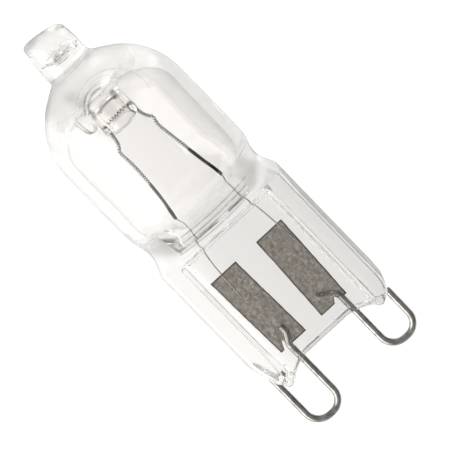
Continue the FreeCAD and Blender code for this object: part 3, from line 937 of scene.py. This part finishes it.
    def blend_ring(self, height: float) -> list[Spot]:
        """Give a ring above the foot zone: pressed section, neck or round tube.

        Args:
            height: The ring's height.

        Returns:
            The ring's points.
        """
        share = held((height - self.pinch_top) / (self.shoulder - self.pinch_top))
        dip = self.neck_dip * (4 * share * (1 - share)) ** 2
        half_width = mix(self.half_width, self.radius, ease(share)) - dip
        deep = held((height - self.pinch_top) / (self.deep_from - self.pinch_top))
        deepening = ease(deep) + self.neck_fullness * deep * (1 - deep) ** 2
        half_depth = mix(self.rib, self.radius, deepening)
        squareness = mix(self.neck_squareness, 2.0, ease(share))
        pressed = ease((self.neck_start - height) / (self.neck_start - self.pinch_top))
        filled = ease((height - self.channel_top + self.channel_fade) / (2 * self.channel_fade))
        loop = self.section_loop()
        ring = []
        for number, (x, y) in enumerate(loop):
            neck_x, neck_y = rounded_box(half_width, half_depth, squareness, math.tau * number / len(loop))
            if abs(x) < self.channel_half_width:
                y = math.copysign(mix(abs(y), self.rib, filled), y)
            x *= half_width / self.half_width
            ring.append((mix(neck_x, x, pressed), mix(neck_y, y, pressed), height))
        return ring

    def outer_rings(self) -> list[list[Spot]]:
        """Give every ring of the outside, from the lower edge's fillet to the stub's end."""
        count, bend = len(self.section_loop()), self.edge_round
        rings = [self.pinch_ring(0, bend + self.edge_step, 0)]
        for angle in EDGE_TURNS[1:]:
            turn = math.radians(angle)
            rings.append(self.pinch_ring(0, bend * (1 - math.sin(turn)), bend * (1 - math.cos(turn))))
        rings += [self.pinch_ring(share, 0, bend) for share in self.foot_shares]
        shares = [step / self.neck_steps for step in range(1, self.neck_steps + 1)]
        neck_heights = [mix(self.pinch_heights[-1], self.shoulder, share) for share in shares]
        heights = [*self.pinch_heights, *neck_heights, *self.shoulder_heights, self.deep_from]
        rings += [self.blend_ring(height) for height in heights]
        rings += [round_ring(count, self.radius, height) for height in self.tube_heights]
        tilts = [self.crown_tilt * step / self.dome_steps for step in range(self.dome_steps + 1)]
        dome = arc(0, self.dome_centre, self.radius, self.radius, tilts)
        rings += [round_ring(count, *spot) for spot in dome]
        rings += [self.root_ring(count, share) for share in self.root_shares]
        rings += [self.stub_ring(count, share, 1.0) for share in self.stub_shares]
        rings += [self.stub_ring(count, 1.0, reach) for reach in self.end_reaches]
        return rings

    def root_fillet(self, angle: float) -> Spot:
        """Give the root fillet at an angle about the stub: a crease at the left, a flare at the right.

        Args:
            angle: The angle from X.

        Returns:
            The fillet's radius and its centre's distance from the axis and height.
        """
        sides = mix(self.crease, self.flare, ease(math.cos(angle)))
        fillet = mix(sides, self.crease, math.sin(angle) ** 2)
        distance = self.stub_radius + fillet
        tilt = math.radians(self.crown_tilt)
        start = self.dome_centre + self.radius * math.sin(tilt)
        rise = (self.radius * math.cos(tilt) - distance) / math.tan(tilt) + fillet / math.sin(tilt)
        return fillet, distance, start + rise

    def root_ring(self, count: int, share: float) -> list[Spot]:
        """Give a ring of the fillet between the dome and the stub.

        Args:
            count: How many points it has.
            share: 0 on the dome and 1 on the stub.

        Returns:
            The ring's points.
        """
        turn = math.pi + math.radians(self.crown_tilt) * (1 - share)
        ring = []
        for number in range(count):
            angle = math.tau * number / count
            fillet, distance, height = self.root_fillet(angle)
            reach = distance + fillet * math.cos(turn)
            ring.append((reach * math.cos(angle), reach * math.sin(angle), height + fillet * math.sin(turn)))
        return ring

    def stub_ring(self, count: int, share: float, reach: float) -> list[Spot]:
        """Give a ring of the stub's side or of its softly pinched end.

        Args:
            count: How many points it has.
            share: How far up the side the ring lies, from the root to the end.
            reach: The ring's radius as a share of the stub's own.

        Returns:
            The ring's points.
        """
        radius = mix(self.stub_radius, self.stub_end_radius, share)
        radius += self.stub_bulge * math.sin(math.pi * share)
        outwards, upwards = self.end_fullness
        crown = self.end_round * (1 - reach ** outwards) ** (1 / upwards) if share == 1.0 else 0.0
        ring = []
        for number in range(count):
            angle = math.tau * number / count
            low = self.root_fillet(angle)[2]
            x, y = radius * reach * math.cos(angle), radius * reach * math.sin(angle)
            rim = self.stub_top - self.end_round - self.stub_slant * x - self.pinched * (y / radius) ** 2
            ring.append((x + self.stub_shift * ease(share), y, mix(low, rim, share) + crown))
        return ring

    def cavity_profile(self) -> list[Flat]:
        """Give the gas space above the shoulder as (radius, height), up the wall and down the tube."""
        inner = self.radius - self.wall
        profile = [(inner, height) for height in self.space_heights]
        profile += arc(0, self.dome_centre, inner, self.dome_inside, range(0, 61, 7))
        profile += arc(*self.groove_hub, self.groove_radius, self.groove_radius, range(80, 181, 20))
        profile += self.tube_outside
        profile += arc(*self.lip_hub, self.lip_radius, self.lip_radius, range(0, -181, -36))
        profile += self.tube_bore
        radius, height, rise = self.bore_end
        for angle in range(12, 88, 15):
            turn = math.radians(angle)
            profile.append((radius * math.cos(turn) ** 0.8, height + rise * math.sin(turn)))
        return profile

    def lined_ring(self, radius: float, height: float) -> list[Spot]:
        """Give a round ring of the gas space; the inner tube's own rings nod towards its mouth.

        Args:
            radius: The ring's radius.
            height: Its height.

        Returns:
            The ring's points.
        """
        inside = radius < self.tube_within
        nod = self.tube_nod * ease((self.tube_root - height) / self.tube_length) if inside else 0.0
        return [(x, y, z + nod * y) for x, y, z in round_ring(self.cavity_columns, radius, height)]

    def cavity_ring(self, height: float, half_width: float, half_depth: float) -> list[Spot]:
        """Give a ring of the gas space in the neck, a flat slot below and round at the shoulder.

        Args:
            height: The ring's height.
            half_width: Half its width.
            half_depth: Half its depth.

        Returns:
            The ring's points.
        """
        floor = self.neck_space[0][0]
        share = ease((height - floor) / (self.deep_from - floor))
        squareness = mix(self.slot_squareness, 2.0, share)
        ring = []
        for number in range(self.cavity_columns):
            x, y = rounded_box(half_width, half_depth, squareness, math.tau * number / self.cavity_columns)
            drop = self.slot_sag * (x / half_width) ** 2 - self.slot_lean * x
            ring.append((x, y, height + drop * (1 - share)))
        return ring

    def build(self, finish: bpy.types.Material) -> None:
        """Model the glass and join its hollow skins to the outside.

        Args:
            finish: The glass material.
        """
        outside = RingSkin("quartz_envelope", self.pinch_ring(0, 2 * self.edge_round, 0))
        skin = outside.grow(self.outer_rings()).cap().ladder().done()
        subdivide(skin, self.levels)
        self.ripple_feet(skin)

        rings = [self.cavity_ring(*spot) for spot in self.neck_space]
        rings += [self.lined_ring(*spot) for spot in self.cavity_profile()]
        space = RingSkin("gas_space", rings[0]).grow(rings[1:]).cap().ladder().done(inward=True)
        subdivide(space, self.space_levels)

        activate(skin, space, *self.stub_voids())
        bpy.ops.object.join()
        finish_piece(skin, finish, "envelope")

    def ripple_feet(self, skin: bpy.types.Object) -> None:
        """Leave the small waves of hot pressed glass on the feet, outwards and down, and round the neck.

        Args:
            skin: The outside of the glass, in lamp millimetres.
        """
        down, outwards = self.foot_ripples
        above, below = self.neck_ripples
        for vertex in skin.data.vertices:
            spot = vertex.co
            foot = come_in(spot.z, *down) * come_in(abs(spot.x), *outwards)
            neck = come_in(spot.z, *above) * come_in(spot.z, *below)
            wave = noise.noise_vector(spot * self.ripple_scale)
            wave.z *= self.ripple_rise
            vertex.co += wave * (self.ripple * foot + self.neck_ripple * neck)

    def stub_voids(self) -> list[bpy.types.Object]:
        """Model the crumpled bubbles that the closing flame left in the tip stub."""
        voids = []
        for place, size, crumple in self.void_shapes:
            void = start_piece(
                "stub_bubble", bpy.ops.mesh.primitive_uv_sphere_add,
                segments=40, ring_count=24, radius=1, location=place, scale=size)
            turn_normals(void, inward=True)
            for vertex in void.data.vertices:
                vertex.co += noise.noise_vector(vertex.co * 1.6 + Vector(self.void_seed)) * crumple
            voids.append(void)
        return voids


# Wires


def rounded_route(corners: Sequence[Spot], radii: Sequence[float], step: float) -> list[Vector]:
    """Round each inner corner of a route with an arc.

    Args:
        corners: The route's corners, its two ends among them.
        radii: The bend radius at each inner corner.
        step: The turn between neighbouring points of an arc, in degrees.

    Returns:
        The route's points.
    """
    route = [Vector(corners[0])]
    for number, radius in enumerate(radii, start=1):
        before, corner, after = (Vector(spot) for spot in corners[number - 1:number + 2])
        inward, onward = (before - corner).normalized(), (after - corner).normalized()
        half = inward.angle(onward) / 2
        hub = corner + (inward + onward).normalized() * (radius / math.sin(half))
        start = corner + inward * (radius / math.tan(half)) - hub
        end = corner + onward * (radius / math.tan(half)) - hub
        turn = math.pi - 2 * half
        pieces = max(2, round(math.degrees(turn) / step))
        for piece in range(pieces + 1):
            share = piece / pieces
            swing = start * math.sin((1 - share) * turn) + end * math.sin(share * turn)
            route.append(hub + swing / math.sin(turn))
    route.append(Vector(corners[-1]))
    return route


def even_points(route: Sequence[Vector], step: float) -> list[Vector]:
    """Space points evenly along a route.

    Args:
        route: The route's points.
        step: The distance between the points that are given back.

    Returns:
        The evenly spaced points.
    """
    places = np.array([tuple(point) for point in route])
    along = distances(places)
    wanted = np.linspace(0, along[-1], max(2, round(along[-1] / step) + 1))
    return [Vector([np.interp(spot, along, places[:, axis]) for axis in range(3)]) for spot in wanted]


def distances(places: np.ndarray) -> np.ndarray:
    """Give how far along the route each of its points lies."""
    gaps = np.linalg.norm(np.diff(places, axis=0), axis=1)
    return np.concatenate(([0.0], np.cumsum(gaps)))


def wire_along(
        name: str, route: Sequence[Vector], radius: float, sides: int, end_round: float) -> bpy.types.Object:
    """Grow a round wire along a flat route by extrusion, with softly rounded cut ends.

    Args:
        name: The object's name.
        route: The centre line's points, all with the same Y.
        radius: The wire's radius.
        sides: How many sides it has.
        end_round: The radius at the edges of the cut ends.

    Returns:
        The wire.
    """
    side = Vector((0, 1, 0))

    def ring_at(point: Vector, onward: Vector, reach: float) -> list[Spot]:
        """Give a ring about a point of the route."""
        other = onward.cross(side)
        angles = [math.tau * number / sides for number in range(sides)]
        return [tuple(point + (side * math.cos(a) + other * math.sin(a)) * reach) for a in angles]

    def cut_end(end: Vector, inward: Vector, onward: Vector) -> list[list[Spot]]:
        """Give the rings of one cut end, from its face inwards."""
        rings = []
        for angle in EDGE_TURNS:
            turn = math.radians(angle)
            place = end + inward * end_round * (1 - math.cos(turn))
            rings.append(ring_at(place, onward, radius - end_round * (1 - math.sin(turn))))
        return rings

    first, last = (route[1] - route[0]).normalized(), (route[-1] - route[-2]).normalized()
    rings = cut_end(route[0], first, first)
    for before, point, after in zip(route, route[1:], route[2:]):
        rings.append(ring_at(point, (after - before).normalized(), radius))
    rings += reversed(cut_end(route[-1], -last, last))
    return RingSkin(name, rings[0]).grow(rings[1:]).cap().cap_start().done()


@dataclass
class HalogenCoil:
    """The tungsten filament: one fine wire wound into a long coil, hung by its fused middle.

    Spacing and swell are given by share of the coil's length: the distance between turns, and how
    much wider the coil is there.
    """

    legs: tuple[tuple[Flat, ...], ...] = (
        ((-2.40, 15.70), (-2.33, 16.4), (-2.18, 17.3), (-2.05, 18.6), (-1.96, 19.9), (-1.90, 21.3),
         (-1.92, 22.6), (-2.00, 23.1), (-1.62, 23.45), (-1.50, 24.0), (-1.40, 24.8), (-1.52, 25.45),
         (-1.50, 25.95)),
        ((1.50, 25.98), (1.58, 25.5), (1.50, 24.9), (1.62, 24.2), (1.78, 23.75), (2.14, 23.3), (1.88, 22.75),
         (2.06, 21.3), (2.26, 19.9), (2.43, 18.6), (2.58, 17.3), (2.73, 16.4), (2.79, 15.70)))
    plane: float = -0.068
    coil_radius: float = 0.115
    wire_radius: float = 0.042
    wire_sides: int = 6
    steps: int = 14
    pitch: float = 0.11
    spacing: tuple[Flat, ...] = (
        (0.0, 0.078), (0.155, 0.078), (0.16, 0.22), (0.34, 0.22), (0.45, 0.17), (0.465, 0.30),
        (0.535, 0.30), (0.55, 0.17), (0.66, 0.22), (0.84, 0.22), (0.845, 0.078), (1.0, 0.078))
    swell: tuple[Flat, ...] = (
        (0.15, 0.0), (0.17, 0.015), (0.44, 0.015), (0.465, 0.05), (0.535, 0.05), (0.56, 0.015),
        (0.83, 0.015), (0.85, 0.0))
    table_steps: int = 400
    route_step: float = 0.04
    look_ahead: float = 0.05
    seam: float = 0.0005

    def route(self) -> list[Vector]:
        """Run a smooth curve by the points of both legs and read it back."""
        data = bpy.data.curves.new("coil_route", "CURVE")
        data.dimensions = "3D"
        spline = data.splines.new("NURBS")
        spots = [spot for leg in self.legs for spot in leg]
        spline.points.add(len(spots) - 1)
        for point, (x, z) in zip(spline.points, spots):
            point.co = (x, self.plane, z, 1.0)
        spline.order_u = 3
        spline.use_endpoint_u = True
        spline.resolution_u = 16
        curve = bpy.data.objects.new("coil_route", data)
        bpy.context.scene.collection.objects.link(curve)
        mesh = bpy.data.meshes.new_from_object(curve)
        points = [vertex.co.copy() for vertex in mesh.vertices]
        bpy.data.objects.remove(curve)
        bpy.data.meshes.remove(mesh)
        return even_points(points, self.route_step)

    def turn_table(self, length: float) -> tuple[np.ndarray, np.ndarray]:
        """Count the turns along the route.

        Args:
            length: The route's length.

        Returns:
            The number of turns up to each place, and the places.
        """
        places = np.linspace(0, length, self.table_steps)
        shares, pitches = zip(*self.spacing)
        pitch = np.interp(places / length, shares, pitches)
        middles = (1 / pitch[1:] + 1 / pitch[:-1]) / 2
        return np.concatenate(([0.0], np.cumsum(middles * np.diff(places)))), places

    def wind(self, turns: int) -> bpy.types.Object:
        """Wind the wire into a straight coil.

        Args:
            turns: How many turns it gets.

        Returns:
            The coil, standing on the Z axis.
        """
        coil = start_piece(
            "coiled_filament", bpy.ops.mesh.primitive_circle_add, vertices=self.wire_sides,
            radius=self.wire_radius, location=(self.coil_radius, 0, 0), rotation=(math.pi / 2, 0, 0))
        winding = coil.modifiers.new("winding", "SCREW")
        winding.angle = math.tau
        winding.screw_offset = self.pitch
        winding.iterations = turns
        winding.steps = self.steps
        winding.render_steps = self.steps
        apply_modifiers(coil)
        return coil

    def lay(self, coil: bpy.types.Object, route: np.ndarray, turns: np.ndarray, places: np.ndarray) -> None:
        """Stretch the straight coil to its spacing and bend it along its route.

        Args:
            coil: The straight coil.
            route: The route's points.
            turns: The number of turns up to each of the places.
            places: Distances along the route.
        """
        along = distances(route)
        spots = np.empty(len(coil.data.vertices) * 3)
        coil.data.vertices.foreach_get("co", spots)
        spots = spots.reshape(-1, 3)
        swing = np.arctan2(spots[:, 1], spots[:, 0]) / math.tau
        turn = np.round(spots[:, 2] / self.pitch - swing) + swing
        place = np.interp(turn, turns, places) + spots[:, 2] - turn * self.pitch
        reach = np.hypot(spots[:, 0], spots[:, 1]) + np.interp(place / along[-1], *zip(*self.swell))

        def spots_at(where: np.ndarray) -> np.ndarray:
            """Give the route's points at these distances."""
            return np.stack([np.interp(where, along, route[:, axis]) for axis in range(3)], axis=1)

        heading = spots_at(place + self.look_ahead) - spots_at(place - self.look_ahead)
        heading /= np.linalg.norm(heading, axis=1)[:, None]
        side = np.array([0.0, 1.0, 0.0])
        angle = (swing * math.tau)[:, None]
        outwards = np.cos(angle) * side + np.sin(angle) * np.cross(heading, side)
        laid = spots_at(place) + reach[:, None] * outwards
        coil.data.vertices.foreach_set("co", laid.ravel())

    def close(self, coil: bpy.types.Object) -> None:
        """Merge the winding's seams and close the wire's two ends.

        Args:
            coil: The coil.
        """
        activate(coil)
        bpy.ops.object.mode_set(mode="EDIT")
        bpy.ops.mesh.select_all(action="SELECT")
        bpy.ops.mesh.remove_doubles(threshold=self.seam)
        shape = bmesh.from_edit_mesh(coil.data)
        bmesh.ops.holes_fill(shape, edges=[edge for edge in shape.edges if edge.is_boundary])
        bmesh.update_edit_mesh(coil.data)
        turn_normals(coil)

    def build(self, finish: bpy.types.Material) -> None:
        """Wind the wire straight, then lay the coil along its route.

        Args:
            finish: The tungsten material.
        """
        route = np.array([tuple(point) for point in self.route()])
        turns, places = self.turn_table(distances(route)[-1])
        coil = self.wind(int(turns[-1]))
        self.lay(coil, route, turns, places)
        self.close(coil)
        finish_piece(coil, finish, "filament")


@dataclass
class LoopedPin:
    """One pin: a free outer leg, the bow, and an inner leg that is pressed into the glass."""

    side: str
    corners: tuple[Flat, ...]
    bends: tuple[float, ...]
    plane: float = WIRE_PLANE
    radius: float = 0.3
    sides: int = 28
    end_round: float = 0.05
    step: float = 7.5

    def build(self, finish: bpy.types.Material) -> None:
        """Model the pin.

        Args:
            finish: The pin wire's material.
        """
        corners = [(x, self.plane, z) for x, z in self.corners]
        route = rounded_route(corners, self.bends, self.step)
        pin = wire_along(f"looped_pin_{self.side}", route, self.radius, self.sides, self.end_round)
        finish_piece(pin, finish, f"pin_{self.side}")


@dataclass
class SealFoil:
    """One strip of foil in the pinch, crinkled by the pressing and notched at its weld."""

    side: str
    low: Flat
    top: Flat
    notch: Flat
    seed: Spot
    width: float = 2.83
    thickness: float = 0.04
    columns: int = 40
    rows: int = 112
    crinkle: float = 0.05
    fray: float = 0.03
    flat_edge: float = 0.125
    notch_half_width: float = 0.38
    notch_reach: float = 0.14
    waves: tuple[Flat, ...] = ((1.1, 0.6), (2.9, 0.4))

    def crinkled(self, across: float, along: float) -> Spot:
        """Give a point of the strip.

        Args:
            across: Its place over the width, -0.5 to 0.5.
            along: Its place up the strip, 0 to 1.

        Returns:
            The point.
        """
        x = mix(self.low[0], self.top[0], along) + across * self.width
        z = mix(self.low[1], self.top[1], along)
        notched, depth = self.notch
        beside = held(1 - abs(x - notched) / self.notch_half_width)
        lift = depth * beside * held(1 - along / self.notch_reach)
        spot = Vector((x, 0, z)) + Vector(self.seed)
        inside = min(1.0, (0.5 - abs(across)) / self.flat_edge)
        rough = sum(noise.noise(spot * scale) * share for scale, share in self.waves)
        ragged = noise.noise(Vector((self.seed[0], z * 1.9, across))) * self.fray * (1 - inside)
        return x + ragged * math.copysign(1, across), rough * self.crinkle * inside, z + lift

    def build(self, finish: bpy.types.Material) -> None:
        """Model the foil.

        Args:
            finish: The foil material.
        """
        foil = start_piece(
            f"foil_strip_{self.side}", bpy.ops.mesh.primitive_grid_add, x_subdivisions=self.columns,
            y_subdivisions=self.rows, size=1, location=(0, 0, 0), rotation=(math.pi / 2, 0, 0))
        for vertex in foil.data.vertices:
            vertex.co = self.crinkled(vertex.co.x, vertex.co.z + 0.5)
        sheet = foil.modifiers.new("sheet", "SOLIDIFY")
        sheet.thickness = self.thickness
        sheet.offset = 0
        apply_modifiers(foil)
        finish_piece(foil, finish, f"foil_{self.side}")


# Studio


@dataclass(frozen=True)
class RoomFinish:
    """The room round the set: a large soft glow beside the lamp, pale walls and a dark ceiling."""

    glow_from: Spot = (0.05, -0.86, 0.30)
    glow: float = 3.2
    glow_turn: Flat = (0.62, 0.9)
    walls: float = 1.1
    ceiling: float = 0.6
    ceiling_turn: Flat = (0.15, 0.75)
    far_wall: float = 0.1
    far_wall_at: Spot = (0.2, 1.0, 0.0)
    far_wall_turn: Flat = (-0.2, 0.7)

    def build(self) -> bpy.types.World:
        """Make the world."""
        world = bpy.data.worlds.new("studio_room")
        world.use_nodes = True
        room = Nodes(world.node_tree)
        heading = room.node("ShaderNodeTexCoord", {}, {}, "Generated")
        glow = self._facing(room, heading, self.glow_from, self.glow_turn)
        height = self._facing(room, heading, (0.0, 0.0, 1.0), self.ceiling_turn)
        far = self._facing(room, heading, self.far_wall_at, self.far_wall_turn)
        walls = self.walls + (self.far_wall - self.walls) * far
        level = walls + (self.ceiling - walls) * height + glow * self.glow
        backdrop = world.node_tree.nodes["Background"]
        backdrop.inputs["Color"].default_value = (1.0, 0.992, 0.975, 1.0)
        world.node_tree.links.new(level.socket, backdrop.inputs["Strength"])
        return world

    @staticmethod
    def _facing(room: Nodes, heading: Signal, towards: Spot, stretch: Flat) -> Signal:
        """Give 0 to 1 as a direction turns towards another one."""
        turn = room.node(
            "ShaderNodeVectorMath", {"operation": "DOT_PRODUCT"},
            {0: heading, 1: Vector(towards).normalized()}, "Value")
        return room.span(turn, *stretch, "SMOOTHSTEP")


@dataclass
class Studio:
    """A pale floor under one large soft light, which reflections see only as the room's glow."""

    floor_half: float = 0.9
    softbox_place: Spot = (0.06, -0.42, 0.40)
    softbox_size: Flat = (0.60, 0.45)
    softbox_power: float = 0.9

    def build(self, paper: bpy.types.Material, room: bpy.types.World) -> None:
        """Build the floor, the softbox and the room.

        Args:
            paper: The floor's material.
            room: The room's world.
        """
        deselect_all()
        bpy.ops.mesh.primitive_plane_add(size=2 * self.floor_half, location=(0, 0, 0))
        floor = bpy.context.object
        floor.name = "studio_floor"
        floor.data.materials.append(paper)
        data = bpy.data.lights.new("softbox", "AREA")
        data.shape = "RECTANGLE"
        data.size, data.size_y = self.softbox_size
        data.energy = self.softbox_power
        softbox = bpy.data.objects.new("softbox", data)
        softbox.location = self.softbox_place
        softbox.rotation_euler = (-Vector(self.softbox_place)).to_track_quat("-Z", "Y").to_euler()
        softbox.visible_glossy = False
        softbox.visible_transmission = False
        bpy.context.scene.collection.objects.link(softbox)
        bpy.context.scene.world = room


@dataclass
class PhotoCamera:
    """A long lens that looks almost straight down on the lamp."""

    tilt: float = 6.5
    roll: float = 45.76
    target: Spot = (-0.35, 0.0, 12.0)
    lens: float = 400.0
    sensor: float = 36.0
    view_height: float = 0.03846

    def build(self) -> None:
        """Create the camera and make it the scene's own."""
        back = Vector((0, math.sin(math.radians(self.tilt)), math.cos(math.radians(self.tilt))))
        base = -(LAMP.to_3x3() @ Vector((0, 0, 1))).normalized()
        base = (base - back * base.dot(back)).normalized()
        roll = math.radians(self.roll)
        right = base * math.cos(roll) + back.cross(base) * math.sin(roll)
        up = back.cross(right)
        data = bpy.data.cameras.new("photo_camera")
        data.lens = self.lens
        data.sensor_width = self.sensor
        data.clip_start = 0.01
        data.clip_end = 20
        camera = bpy.data.objects.new("photo_camera", data)
        distance = self.lens / self.sensor * self.view_height
        turn = Matrix((right, up, back)).transposed().to_4x4()
        camera.matrix_world = Matrix.Translation(LAMP @ Vector(self.target) + back * distance) @ turn
        bpy.context.scene.collection.objects.link(camera)
        bpy.context.scene.camera = camera


def dress_node(name: str, finish: bpy.types.Material) -> None:
    """Give a CAD node that stays in view its finish.

    Args:
        name: The node.
        finish: Its material.
    """
    node = frame["nodes"][name]
    for slot in node.material_slots:
        slot.material = finish
    let_light_through(node)
    LOG.info("%s: dressed", name)


def set_look() -> None:
    """Choose the view transform and follow light far enough that no corner of the glass goes black."""
    scene = bpy.context.scene
    scene.view_settings.view_transform = "Standard"
    scene.cycles.max_bounces = 64
    scene.cycles.transmission_bounces = 48
    scene.cycles.glossy_bounces = 48
    scene.cycles.caustics_refractive = False
    scene.cycles.caustics_reflective = False


def main() -> None:
    """Build the lamp piece by piece, then the studio."""
    logging.basicConfig(level=logging.INFO, format="%(name)s %(message)s")
    noise.seed_set(NOISE_SEED)
    PhotoCamera().build()
    QuartzEnvelope().build(QuartzFinish().build())
    tungsten = WireFinish("tungsten_wire", (0.02, 0.019, 0.018), (0.07, 0.067, 0.064), 0.5).build()
    HalogenCoil().build(tungsten)
    molybdenum = WireFinish("molybdenum_lead", (0.20, 0.19, 0.18), (0.42, 0.40, 0.38), 0.30).build()
    for side in ("left", "right"):
        dress_node(f"inner_lead_{side}", molybdenum)
    foil = FoilFinish().build()
    SealFoil("left", (-2.54, 1.31), (-2.77, 9.71), (-3.2, 0.8), (7.3, 0.0, 0.0)).build(foil)
    SealFoil("right", (2.05, 1.31), (2.41, 9.71), (2.5, 0.55), (0.0, 0.0, 4.1)).build(foil)
    nickel = WireFinish("pin_wire_metal", (0.19, 0.183, 0.175), (0.36, 0.352, 0.338), 0.17).build()
    pins = (
        LoopedPin(
            "left", ((-6.05, 0.25), (-6.05, -5.45), (-2.95, -5.45), (-2.95, 1.45), (-2.4, 2.4), (-2.4, 3.1)),
            (1.42, 1.42, 0.8, 0.8)),
        LoopedPin(
            "right", ((6.05, -0.8), (6.05, -4.95), (2.95, -4.95), (2.95, 1.95), (1.45, 2.8)),
            (1.42, 1.42, 0.8)))
    for pin in pins:
        pin.build(nickel)
    Studio().build(PaperFinish().build(), RoomFinish().build())
    set_look()


if __name__ == "__main__":
    main()
